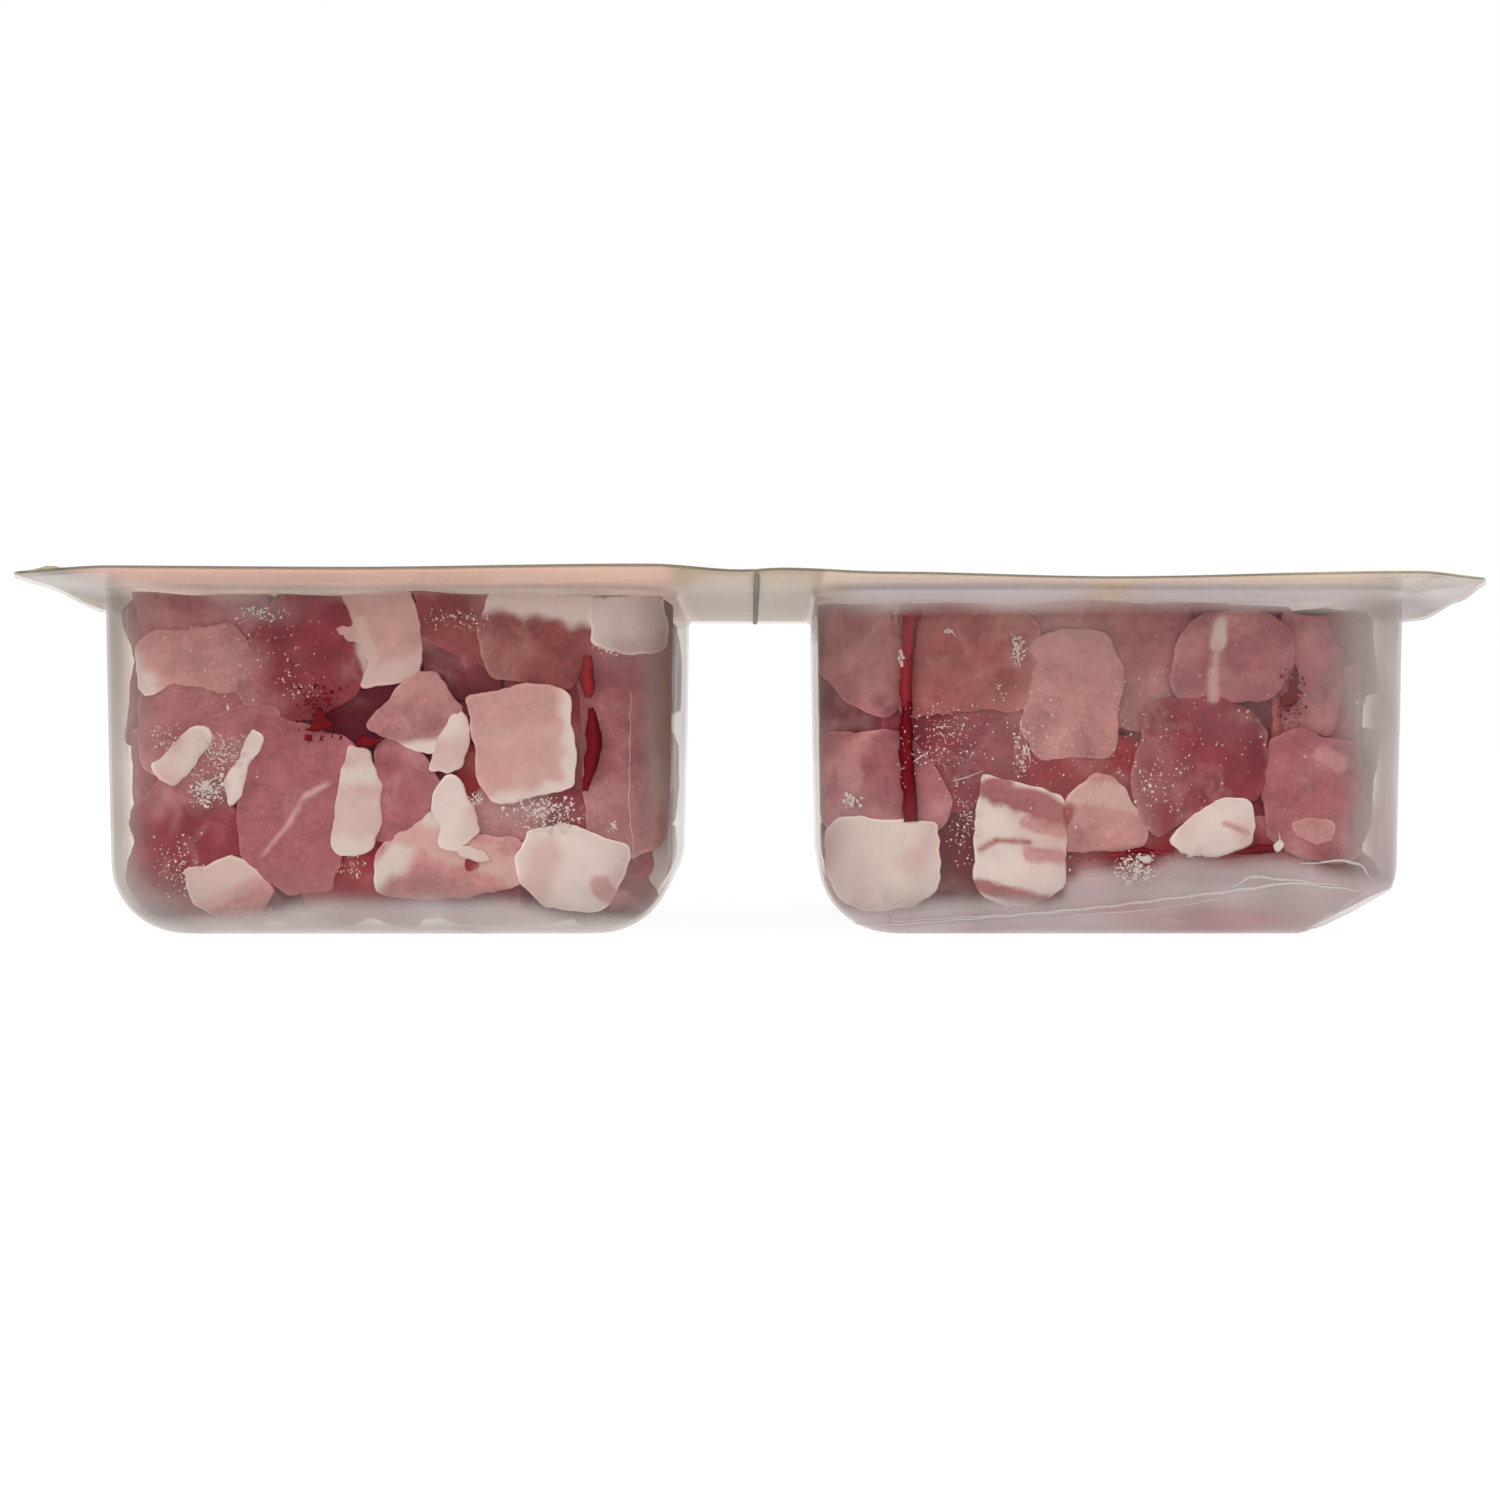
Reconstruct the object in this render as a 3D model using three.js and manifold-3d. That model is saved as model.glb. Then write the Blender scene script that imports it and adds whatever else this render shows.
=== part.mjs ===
// A twin pack of diced pancetta: one clear formed tray with two tubs side by side, a printed film
// sealed over both, and a heap of diced cured pork in each tub.
//
// Units are millimetres. +Z is up, the pack stands on its two tub floors at z = 0, and -Y is the
// long side that shows. The origin is on the floor, under the middle of the sealing lip.

import * as THREE from 'three';
import { mergeVertices } from 'three/addons/utils/BufferGeometryUtils.js';
import Module from 'manifold-3d';

const wasm = await Module();
wasm.setup();

const { lerp, clamp, smoothstep, degToRad } = THREE.MathUtils;

// ---------------------------------------------------------------------------------------------
// Driving dimensions
// ---------------------------------------------------------------------------------------------

const PACK = { width: 150, depth: 86, cornerRadius: 1.5 };
const FILM = { wall: 0.5, lip: 0.35, lid: 0.25, sealGap: 0.15 };

// Both tubs share their depth, corners and draft, which is how far a wall leans in from the lip
// down to the floor. The wall by the middle gap has one place at its front and one at its back.
const TUB = { frontY: -35, backY: 35, cornerRadius: 9.5, floorRadius: 7.7, draft: 0.6 };
const LEFT_TUB = { outerX: -69.9, innerFrontX: -8, innerBackX: -8.1, dented: false };
const RIGHT_TUB = { outerX: 70.8, innerFrontX: 6.9, innerBackX: 8.2, dented: true };
const TUB_CORNER_STEPS = 5;
const TUB_SIDE_STEPS = 4;
const TUB_WALL_HEIGHTS = [26, 16];
const TUB_FLOOR_STEPS = 5;

// The lip's underside is a plane that falls a little to the right. Beyond the fold lines, just
// outside the tubs, its front edge curls up by the first list, [x, rise], and its two side edges
// droop by the others, [y, drop].
const LIP = { height: 37.15, fallPerMm: 0.004, backRise: 0.4, foldX: 71.3, foldY: 35.5 };
const FRONT_RISE = [
  [-75, 0.1], [-65, 0.65], [-43, 0.6], [-10, 1.05], [-1, 0.5],
  [3.5, 0.7], [14, 0.35], [36, -0.05], [68, 0.65], [75, 0],
];
const LEFT_DROP = [[-43, 0.1], [-32, 0.2], [-10, 1.6], [2, 1.6], [43, 0.1]];
const RIGHT_DROP = [[-43, 0], [-33, 1.3], [-20, 2.45], [-10, 2.2], [10, 1], [43, 0.1]];
const BLISTER = { x: -71.5, y: -41.5, radius: 2.4, height: 0.5 };

// A row of short slits across the bridge lets the two tubs be torn apart.
const TEAR = { x: 0.7, slitWidth: 0.7, slitLength: 6.5, pitch: 10.3, count: 8 };

// The tub on the right is crushed at its lower front edge and its outer front corner. The
// crease runs along the first points, and the flattened face below it ends at the second ones.
const CRUSHED_EDGE = [
  { x: 6, crease: [-30.5, 0.4], foot: [-27.5, -0.2] },
  { x: 12.6, crease: [-31.1, 0.9], foot: [-27.5, -0.1] },
  { x: 36.7, crease: [-33.6, 3.1], foot: [-28, 0] },
  { x: 57, crease: [-35, 5.9], foot: [-29, 0] },
  { x: 75, crease: [-35, 5.9], foot: [-29, 0] },
];
const CRUSHED_CORNER = { point: [58.6, -29, 0], normal: [0.427, -0.225, -0.876] };

// The diced meat stands clear of the tub by DICE_GAP. Dice that no one sees one by one are left
// in a plain core, and the dice that show are fused to it.
const DICE_GAP = 0.3;
const DICE_TOP = 35.2;
const CORE = { inset: 4.5, bottom: 3.5, top: 31.5 };
const FRONT_DICE = { length: 11, stagger: 0.45 };

// The dice that show through the front wall: [x, z, width, height, turn in degrees], and last,
// where it isn't 0, how far the face stands back from the film.
const LEFT_FRONT = [
  [-58.1, 33.6, 10.6, 5.4, -3], [-58.7, 29.2, 11.2, 6.5, 6], [-60, 23.4, 9, 6.2, -10],
  [-59.5, 19.4, 7.5, 2.8, 55], [-54.6, 18.8, 6.4, 6, 62], [-59.2, 11.4, 10.3, 9.2, -12],
  [-55.9, 5.4, 9.2, 5.2, -20], [-46.7, 29.4, 12.2, 11.6, -8], [-39.2, 31.3, 7.6, 9, -8, 0.6],
  [-42.5, 23, 9, 6, 10, 4], [-30.8, 30.4, 9.4, 8.4, -12, 3.5], [-22, 31, 10.8, 9.4, 0],
  [-13.4, 33, 6.2, 5.4, 0, 0.4], [-14.2, 22.5, 6.8, 13, 0, 0.5], [-35.4, 22.1, 8.4, 9.4, 43],
  [-31.4, 20.5, 3, 7.6, -14], [-24, 20.7, 10.6, 10.6, 3], [-31, 13.4, 4, 7.2, 9],
  [-47.9, 12.5, 11.6, 13.6, -6], [-41.1, 14.4, 4.4, 11, -10], [-36.2, 15.8, 5, 7.8, 20],
  [-33, 7.6, 12.4, 6.2, 6, 0.3], [-18.7, 12.8, 12.2, 5.6, -8, 0.8], [-18.3, 7, 10.6, 7.8, -9],
];
const RIGHT_FRONT = [
  [11.6, 30.8, 7.8, 9, 4, 0.4], [11.6, 23.4, 8, 6.4, -20, 2], [11.8, 16.4, 8.2, 8.4, 5],
  [23.4, 29.4, 13.8, 10.2, -4], [22.5, 19.3, 12.4, 10.4, 4, 1.5], [35, 25.3, 10.2, 10.8, 14, 0.5],
  [35.6, 17.6, 11.2, 5.8, 3, 1], [40.5, 31, 10.8, 8.4, -5, 2], [51.2, 29.4, 11.8, 9.4, 4],
  [59.2, 29, 5.2, 9.4, -4, 1], [47.8, 18.9, 12.8, 10.8, 6], [59, 17.3, 9.4, 10.8, -6],
  [28, 10.2, 9.2, 11.8, -9], [36.8, 12, 7.4, 6.6, -20], [49.4, 11.4, 8.4, 5.2, 16],
  [14.2, 7.4, 11.8, 9.6, 3], [21.6, 10, 4.8, 10.2, 4, 2.5],
];

// The dice behind them lie in a loose lattice of cells, each shifted, turned and sized by chance.
const LATTICE = { across: 5, deep: 5, high: 3, shift: 0.12, turn: 30 };
const DIE_SIZE = { mean: 11.8, spread: 1.3 };

const MATERIALS = {
  tray: { color: 0xd9d6cf, roughness: 0.12, metalness: 0, transparent: true, opacity: 0.35 },
  lid: { color: 0xc9bfa8, roughness: 0.3, metalness: 0 },
  dice: { color: 0xa56a66, roughness: 0.35, metalness: 0 },
};

// ---------------------------------------------------------------------------------------------
// Solids and meshes
// ---------------------------------------------------------------------------------------------

function toSolid(geometry) {
  const bare = geometry.clone();
  bare.deleteAttribute('normal');
  bare.deleteAttribute('uv');
  const merged = mergeVertices(bare, 1e-5);
  return new wasm.Manifold(new wasm.Mesh({
    numProp: 3,
    vertProperties: merged.attributes.position.array,
    triVerts: new Uint32Array(merged.index.array),
  }));
}

function toMesh(name, solid, material) {
  const { vertProperties, triVerts } = solid.getMesh();
  const geometry = new THREE.BufferGeometry();
  geometry.setAttribute('position', new THREE.BufferAttribute(vertProperties, 3));
  geometry.setIndex(new THREE.BufferAttribute(triVerts, 1));
  geometry.computeVertexNormals();
  const mesh = new THREE.Mesh(geometry, new THREE.MeshStandardMaterial(material));
  mesh.name = name;
  return mesh;
}

function fromTriangles(points, triangles) {
  const geometry = new THREE.BufferGeometry();
  geometry.setAttribute('position', new THREE.Float32BufferAttribute(points.flat(), 3));
  geometry.setIndex(triangles.flat());
  return geometry;
}

// A closed solid through rings of points, each counterclockwise for someone who looks at the
// first ring from outside. The two ends are closed by fans.
function loft(rings) {
  const count = rings[0].length;
  const points = rings.flat();
  const triangles = [];
  for (let ring = 0; ring < rings.length - 1; ring += 1) {
    for (let k = 0; k < count; k += 1) {
      const next = (k + 1) % count;
      const here = ring * count;
      const below = here + count;
      triangles.push([here + k, below + k, below + next], [here + k, below + next, here + next]);
    }
  }
  const middle = (ring) => [0, 1, 2].map((axis) => ring.reduce((sum, p) => sum + p[axis], 0) / count);
  const first = points.push(middle(rings[0])) - 1;
  const last = points.push(middle(rings[rings.length - 1])) - 1;
  const lastRing = (rings.length - 1) * count;
  for (let k = 0; k < count; k += 1) {
    const next = (k + 1) % count;
    triangles.push([first, k, next], [last, lastRing + next, lastRing + k]);
  }
  return toSolid(fromTriangles(points, triangles));
}

// ---------------------------------------------------------------------------------------------
// The sealing lip and the lid, which follow one wavy face
// ---------------------------------------------------------------------------------------------

// A smooth curve through [place, value] stations.
function along(stations, place) {
  const last = stations.length - 1;
  const at = clamp(place, stations[0][0], stations[last][0]);
  const k = Math.min(stations.findIndex((station) => station[0] >= at) || 1, last);
  const [from, to] = [stations[k - 1], stations[k]];
  return lerp(from[1], to[1], smoothstep(at, from[0], to[0]));
}

function lipUnderside(x, y) {
  const reach = (past, fold, edge) => clamp((past - fold) / (edge - fold), 0, 1);
  const frontReach = reach(-y, LIP.foldY, PACK.depth / 2);
  const backReach = reach(y, LIP.foldY, PACK.depth / 2);
  const sideReach = reach(Math.abs(x), LIP.foldX, PACK.width / 2);
  const drop = along(x < 0 ? LEFT_DROP : RIGHT_DROP, y);
  return LIP.height - LIP.fallPerMm * x
    + frontReach * along(FRONT_RISE, x) + backReach * LIP.backRise - sideReach * drop;
}

function spaced(from, to, steps) {
  return Array.from({ length: steps }, (_, k) => lerp(from, to, k / steps));
}

const LIP_X = [
  ...spaced(-PACK.width / 2, -LIP.foldX, 2), ...spaced(-LIP.foldX, LIP.foldX, 16),
  ...spaced(LIP.foldX, PACK.width / 2, 2), PACK.width / 2,
];
const LIP_Y = [
  ...spaced(-PACK.depth / 2, -LIP.foldY, 2), ...spaced(-LIP.foldY, LIP.foldY, 7),
  LIP.foldY, PACK.depth / 2,
];

// A sheet over the whole pack, from one height above the lip's underside to another.
function sheet(bottom, top) {
  const rows = LIP_Y.length;
  const level = (height) => LIP_X.flatMap((x) => LIP_Y.map((y) => [x, y, height(x, y)]));
  const points = [...level((x, y) => lipUnderside(x, y) + bottom), ...level(top)];
  const upper = LIP_X.length * rows;
  const triangles = [];
  for (let i = 0; i < LIP_X.length - 1; i += 1) {
    for (let j = 0; j < rows - 1; j += 1) {
      const [a, b, c, d] = [i * rows + j, (i + 1) * rows + j, (i + 1) * rows + j + 1, i * rows + j + 1];
      triangles.push([a, c, b], [a, d, c]);
      triangles.push([upper + a, upper + b, upper + c], [upper + a, upper + c, upper + d]);
    }
  }
  const border = [
    ...LIP_X.map((_, i) => i * rows),
    ...LIP_Y.slice(1).map((_, j) => (LIP_X.length - 1) * rows + j + 1),
    ...LIP_X.slice(1).map((_, i) => (LIP_X.length - 2 - i) * rows + rows - 1),
    ...LIP_Y.slice(1, -1).map((_, j) => rows - 2 - j),
  ];
  border.forEach((here, k) => {
    const next = border[(k + 1) % border.length];
    triangles.push([here, next, upper + next], [here, upper + next, upper + here]);
  });
  return toSolid(fromTriangles(points, triangles));
}

// The upright prism that gives the lip and the lid their rounded corners.
function packOutline() {
  const [x, y, r] = [PACK.width / 2, PACK.depth / 2, PACK.cornerRadius];
  const shape = new THREE.Shape();
  shape.absarc(x - r, -y + r, r, -Math.PI / 2, 0);
  shape.absarc(x - r, y - r, r, 0, Math.PI / 2);
  shape.absarc(-x + r, y - r, r, Math.PI / 2, Math.PI);
  shape.absarc(-x + r, -y + r, r, Math.PI, Math.PI * 1.5);
  const prism = new THREE.ExtrudeGeometry(shape, { depth: 20, bevelEnabled: false, curveSegments: 4 });
  return toSolid(prism.translate(0, 0, 25));
}

function tearSlits() {
  const slits = Array.from({ length: TEAR.count }, (_, k) => {
    const slit = new THREE.BoxGeometry(TEAR.slitWidth, TEAR.slitLength, 20);
    return toSolid(slit.translate(TEAR.x, (k - (TEAR.count - 1) / 2) * TEAR.pitch, LIP.height));
  });
  return slits.reduce((all, slit) => all.add(slit));
}

function blisterRise(x, y) {
  const away = Math.hypot(x - BLISTER.x, y - BLISTER.y);
  return BLISTER.height * (1 - smoothstep(away, 0, BLISTER.radius));
}

// ---------------------------------------------------------------------------------------------
// The tubs
// ---------------------------------------------------------------------------------------------

// A rectangle with round corners, counterclockwise, with points along its sides too.
function roundedRing(halfX, halfY, radius) {
  const centres = [[1, -1], [1, 1], [-1, 1], [-1, -1]];
  const corners = centres.map(([sx, sy], corner) => (
    Array.from({ length: TUB_CORNER_STEPS + 1 }, (_, k) => {
      const angle = (corner - 1 + k / TUB_CORNER_STEPS) * Math.PI / 2;
      return [
        sx * (halfX - radius) + radius * Math.cos(angle),
        sy * (halfY - radius) + radius * Math.sin(angle),
      ];
    })
  ));
  return corners.flatMap((corner, k) => {
    const from = corner[TUB_CORNER_STEPS];
    const to = corners[(k + 1) % 4][0];
    const side = Array.from({ length: TUB_SIDE_STEPS - 1 }, (_, j) => [
      lerp(from[0], to[0], (j + 1) / TUB_SIDE_STEPS),
      lerp(from[1], to[1], (j + 1) / TUB_SIDE_STEPS),
    ]);
    return [...corner, ...side];
  });
}

// One level of a tub, at height z and pulled in from the tub's outer face by inset.
function tubRing(tub, z, inset) {
  const lean = TUB.draft * (1 - z / LIP.height);
  const halfX = Math.abs(tub.innerBackX - tub.outerX) / 2;
  const halfY = (TUB.backY - TUB.frontY) / 2;
  const centreX = (tub.innerBackX + tub.outerX) / 2;
  const radius = Math.max(TUB.cornerRadius - inset, 1.5);
  return roundedRing(halfX - inset, halfY - inset, radius).map(([x, y]) => {
    const towardsGap = (1 - Math.sign(centreX) * x / halfX) / 2;
    const towardsFront = (1 - y / halfY) / 2;
    const skew = (tub.innerFrontX - tub.innerBackX) * towardsGap * towardsFront;
    return [centreX + x * (1 - lean / halfX) + skew, y * (1 - lean / halfY), z];
  });
}

// The wedge that the crushed front edge takes away, and the half space that the corner takes.
function crushed(solid, inset) {
  const wedge = CRUSHED_EDGE.map(({ x, crease, foot }) => (
    [crease, foot, [foot[0], -6], [-45, -6], [-45, crease[1]]].map(([y, z]) => [x, y, z])
  ));
  const push = inset * Math.SQRT1_2;
  const edge = loft(wedge).translate([0, push, push]);
  const normal = new THREE.Vector3(...CRUSHED_CORNER.normal).normalize();
  const size = 40;
  const block = new THREE.BoxGeometry(size, size, size).translate(0, 0, size / 2);
  block.applyQuaternion(new THREE.Quaternion().setFromUnitVectors(new THREE.Vector3(0, 0, 1), normal));
  const at = new THREE.Vector3(...CRUSHED_CORNER.point).addScaledVector(normal, -inset);
  return solid.subtract(edge).subtract(toSolid(block.translate(at.x, at.y, at.z)));
}

// A tub filled solid, up to a height that may change from place to place.
function tubSolid(tub, inset, topHeight) {
  const wallFoot = TUB.floorRadius;
  const top = tubRing(tub, topHeight(0, 0), inset).map(([x, y]) => [x, y, topHeight(x, y)]);
  const walls = [...TUB_WALL_HEIGHTS, wallFoot].map((z) => tubRing(tub, z, inset));
  const floor = Array.from({ length: TUB_FLOOR_STEPS }, (_, k) => {
    const angle = (k + 1) / TUB_FLOOR_STEPS * Math.PI / 2;
    const radius = TUB.floorRadius - inset;
    return tubRing(tub, wallFoot - radius * Math.sin(angle), inset + radius * (1 - Math.cos(angle)));
  });
  const solid = loft([top, ...walls, ...floor]);
  return tub.dented ? crushed(solid, inset) : solid;
}

function tray() {
  const lipMiddle = (x, y) => lipUnderside(x, y) + FILM.lip / 2;
  const aboveLip = () => LIP.height + 6;
  const lip = sheet(0, (x, y) => lipUnderside(x, y) + FILM.lip).intersect(packOutline());
  const tubs = [LEFT_TUB, RIGHT_TUB];
  const outside = tubs.reduce((all, tub) => all.add(tubSolid(tub, 0, lipMiddle)), lip);
  const hollow = tubs.reduce((all, tub) => all.subtract(tubSolid(tub, FILM.wall, aboveLip)), outside);
  return hollow.subtract(tearSlits());
}

function lid() {
  const bottom = FILM.lip + FILM.sealGap;
  const top = (x, y) => lipUnderside(x, y) + bottom + FILM.lid + blisterRise(x, y);
  return sheet(bottom, top).intersect(packOutline()).subtract(tearSlits());
}

// ---------------------------------------------------------------------------------------------
// The diced meat
// ---------------------------------------------------------------------------------------------

// A small generator of whole numbers, so that the same heap comes out every time.
function randomSource(seed) {
  let state = seed;
  return () => {
    state = (state * 16807) % 2147483647;
    return state / 2147483647;
  };
}

// Neighbours are staggered a little, so that each die's edges show.
function frontDie([x, z, width, height, turn, back = 0], k) {
  const block = new THREE.BoxGeometry(width, FRONT_DICE.length, height);
  const faceY = TUB.frontY + FILM.wall + DICE_GAP + back + FRONT_DICE.stagger * (k % 3);
  return toSolid(block.rotateY(-degToRad(turn)).translate(x, faceY + FRONT_DICE.length / 2, z));
}

function latticeDice(tub, seed) {
  const random = randomSource(seed);
  const [lowX, highX] = [tub.outerX, tub.innerBackX].sort((a, b) => a - b);
  const low = [lowX + 1.5, TUB.frontY + 1, 0];
  const high = [highX - 1.5, TUB.backY - 1, DICE_TOP];
  const counts = [LATTICE.across, LATTICE.deep, LATTICE.high];
  const dice = [];
  for (let i = 0; i < counts[0]; i += 1) {
    for (let j = 0; j < counts[1]; j += 1) {
      for (let k = 0; k < counts[2]; k += 1) {
        const middle = [i, j, k].map((cell, axis) => {
          const shifted = (cell + 0.5 + (random() - 0.5) * 2 * LATTICE.shift) / counts[axis];
          return lerp(low[axis], high[axis], shifted);
        });
        const size = [0, 1, 2].map(() => DIE_SIZE.mean + (random() - 0.5) * 2 * DIE_SIZE.spread);
        const turns = [0, 1, 2].map(() => degToRad((random() - 0.5) * 2 * LATTICE.turn));
        const buried = i > 0 && i < counts[0] - 1 && j < counts[1] - 1 && k > 0 && k < counts[2] - 1;
        if (j > 0 && !buried) {
          dice.push({ middle, size, turns });
        }
      }
    }
  }
  return dice;
}

function latticeDie({ middle, size, turns }) {
  const block = new THREE.BoxGeometry(...size);
  block.rotateX(turns[0]).rotateY(turns[1]).rotateZ(turns[2]);
  return toSolid(block.translate(...middle));
}

function diceHeap(tub, frontDice, seed) {
  const inside = tubSolid(tub, FILM.wall + DICE_GAP, () => DICE_TOP);
  const core = loft([CORE.top, CORE.bottom].map((z) => tubRing(tub, z, CORE.inset)));
  const pieces = [...frontDice.map(frontDie), ...latticeDice(tub, seed).map(latticeDie)];
  return pieces.reduce((heap, piece) => heap.add(piece), core).intersect(inside);
}

// ---------------------------------------------------------------------------------------------
// The pack
// ---------------------------------------------------------------------------------------------

const pack = new THREE.Group();
pack.add(toMesh('tray', tray(), MATERIALS.tray));
pack.add(toMesh('lid_film', lid(), MATERIALS.lid));
pack.add(toMesh('dice_left', diceHeap(LEFT_TUB, LEFT_FRONT, 7), MATERIALS.dice));
pack.add(toMesh('dice_right', diceHeap(RIGHT_TUB, RIGHT_FRONT, 19), MATERIALS.dice));

export default pack;
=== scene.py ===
"""A twin tub of diced pancetta under a printed film. The tables are in millimetres, in the pack's own frame:
+X to the right, +Y away from the camera and +Z up from the table."""

import math
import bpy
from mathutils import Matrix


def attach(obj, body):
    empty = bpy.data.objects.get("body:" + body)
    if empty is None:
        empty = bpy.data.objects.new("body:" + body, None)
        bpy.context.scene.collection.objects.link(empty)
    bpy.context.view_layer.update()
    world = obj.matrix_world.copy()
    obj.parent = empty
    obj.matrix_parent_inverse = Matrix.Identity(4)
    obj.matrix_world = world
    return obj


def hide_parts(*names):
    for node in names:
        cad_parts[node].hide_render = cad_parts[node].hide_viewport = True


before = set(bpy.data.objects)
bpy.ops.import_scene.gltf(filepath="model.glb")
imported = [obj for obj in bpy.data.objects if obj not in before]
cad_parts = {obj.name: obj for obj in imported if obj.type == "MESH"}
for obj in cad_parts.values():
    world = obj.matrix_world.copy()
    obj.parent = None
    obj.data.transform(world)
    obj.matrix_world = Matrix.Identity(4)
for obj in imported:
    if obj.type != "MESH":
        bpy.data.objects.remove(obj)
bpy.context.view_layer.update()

from types import SimpleNamespace as Sizes

import bpy
import numpy as np
from mathutils import Vector, noise

MM = 0.001

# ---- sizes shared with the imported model

HALF_WIDTH, HALF_DEPTH = 75, 43
PACK_CORNER = 1.5
FILM = Sizes(wall=0.3, lid=0.22, seal=0.04, fold=1.2)
TUB = Sizes(half_depth=35, corner=9.5, least_corner=1.5, floor_radius=7.7, draft=0.6)
LIP = Sizes(height=37.15, fall=0.004, back_rise=0.4, fold_x=71.3, fold_y=35.5)
FRONT_RISE = [
    (-75, 0.1), (-65, 0.65), (-43, 0.6), (-10, 1.05), (-1, 0.5), (3.5, 0.7), (14, 0.35), (36, -0.05),
    (68, 0.65), (75, 0),
]
LEFT_DROP = [(-43, 0.1), (-32, 0.2), (-10, 1.6), (2, 1.6), (43, 0.1)]
RIGHT_DROP = [(-43, 0), (-33, 1.3), (-20, 2.45), (-10, 2.2), (10, 1), (43, 0.1)]
BLISTER = Sizes(x=-71.5, y=-41.5, radius=2.4, height=0.5)
TEAR = Sizes(x=0.7, width=0.7, length=6.5, pitch=10.3, count=8, corner=0.15)
# x, then the crease and the foot of the flattened face below it as (y, z).
CRUSHED_EDGE = [
    (0, (-29.9, -0.3), (-27.5, -0.4)), (6, (-30.5, 0.4), (-27.5, -0.2)), (12.6, (-31.1, 0.9), (-27.5, -0.1)),
    (36.7, (-33.6, 3.1), (-28, 0)), (57, (-35, 5.9), (-29, 0)), (75, (-35, 5.9), (-29, 0)),
]
CRUSHED_CORNER = Sizes(point=(58.6, -29, 0), normal=(0.427, -0.225, -0.876))
DICE_TOP = 35.2
CORE = Sizes(inset=4.5, bottom=3.5, top=31.5)
LATTICE = Sizes(counts=(5, 5, 3), shift=0.12, turn=30, margin=(1.5, 1, 0))
DIE_SIZE = Sizes(mean=11.8, spread=1.3)

# ---- sizes of this model's own

# Steps of the film's mesh: round a tub's corners and sides, and down from the lip to the middle of the floor.
STEPS = Sizes(corner=12, wide=36, deep=40, lip=8, rim=5, wall=60, floor_edge=40, floor=49, above=42, below=26)
# How a front die meets the film: its face's distance from the film's outer face, the radius of its edges, how
# far its face bulges, its depth, and how far back it stands for each unit of a row's back.
PRESS = Sizes(inset=0.42, edge=0.26, bulge=0.2, deep=8.4, back=0.62)
# The spacing of a die's points, and the depths of the rings down its sides.
FRONT_GRID = (0.42, (0, 0.4, 0.9, 1.5, 2.3, 3.3, 4.5, 6, 8))
FILL_GRID = (1, (0, 0.7, 1.8, 4, 8))
# Dice in the gaps between the front ones: their grid and its ends, their size and how far back they lie.
FILL = Sizes(across=7, high=5, bottom=2, top=34, margin=5, reach=7.15, back=1.5)
# How the loose dice and the core are cut: steps along a side, corner radius, roughness and room to the film.
LOOSE = Sizes(steps=(9, 9, 9), corner=1.8, rough=0.6, inset=0.8)
CORE_CUT = Sizes(steps=(30, 30, 12), corner=4, rough=0.8, inset=2.5)
# Shares of light that the film scatters: the least and the most, more in the right tub and its patches, near
# the floor, on the seal and in the back corners, and how far they vary.
BLOOM = Sizes(least=0.003, most=0.85, right=0.005, patches=0.02, floor=0.06, band=0.42, corners=0.1,
              uneven=0.35)
# The walls wave by a little, away from near the middle of each tub.
WAVE = Sizes(height=0.05, grain=11, middles=(-39, 39.2))


def tub_sizes(outer, inner_front, inner_back, **more):
    """A tub's walls in x, with its side by the gap slanting from front to back."""
    return Sizes(outer=outer, inner_front=inner_front, inner_back=inner_back, middle=(inner_back + outer) / 2,
                 half_width=abs(inner_back - outer) / 2, **more)


# Lift raises the front dice under the lid, and dice_over is how much higher than planned the dice may reach.
# Below the cloud's heights, as (x, z), the front of a tub is bare of meat. The band is the seal at its top,
# and its pink tint is a painted reflection of the meat.
LEFT_TUB = tub_sizes(
    -69.9, -8, -8.1, crushed=False, seed=1, lift=1.3, dice_over=1.2, fill_margin=2, cloud_bloom=0.36,
    cloud_tint="#d5c9c6", band_from=36.35, band_tint="#e9c9bb", cloud=[
        (-70, 2.5), (-60, 2.2), (-52, 3.2), (-48, 4.4), (-40, 4.6), (-28, 4.4), (-22, 3.4), (-18, 2.4),
        (-8, 2)])
RIGHT_TUB = tub_sizes(
    70.8, 6.9, 8.2, crushed=True, seed=200, lift=0, dice_over=0.25, fill_margin=6, cloud_bloom=0.42,
    cloud_tint="#c8b8b7", band_from=34.7, band_tint="#dfd2d5", cloud=[
        (6, 3), (20, 4), (32.5, 4.2), (34.5, 8), (45, 8.6), (58, 8.2), (64, 7.2), (71, 6)])


# ---- colours and small helpers

def linear(code):
    """An sRGB hex colour as linear RGBA."""
    parts = [int(code[k:k + 2], 16) / 255 for k in (1, 3, 5)]
    return tuple(c / 12.92 if c <= 0.04045 else ((c + 0.055) / 1.055) ** 2.4 for c in parts) + (1.0,)


# Flesh and fat, from the darkest pockets of lean to clean back fat, and red meat that light comes through.
# The darkest tone also serves as painted shade, on the core and on a deep die in the gaps between the dice.
TONES = {
    "pocket": "#5a1828", "purple": "#6a313a", "dark": "#813842", "lean": "#9a5d64", "brown": "#965657",
    "umber": "#874a4c", "haze": "#955c61", "pink": "#b07c7d", "mauve": "#a67577", "blush": "#c09c98",
    "pale": "#c4aca8", "cream": "#c9bcb7", "white": "#cfc1be", "red": "#8a3039",
}
FATTY = ("white", "cream", "pale", "blush")


def plain(points, tone):
    """One colour for every point, from a tone's name or an sRGB hex colour."""
    return np.tile(linear(TONES.get(tone, tone))[:3], (len(points), 1))


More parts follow.
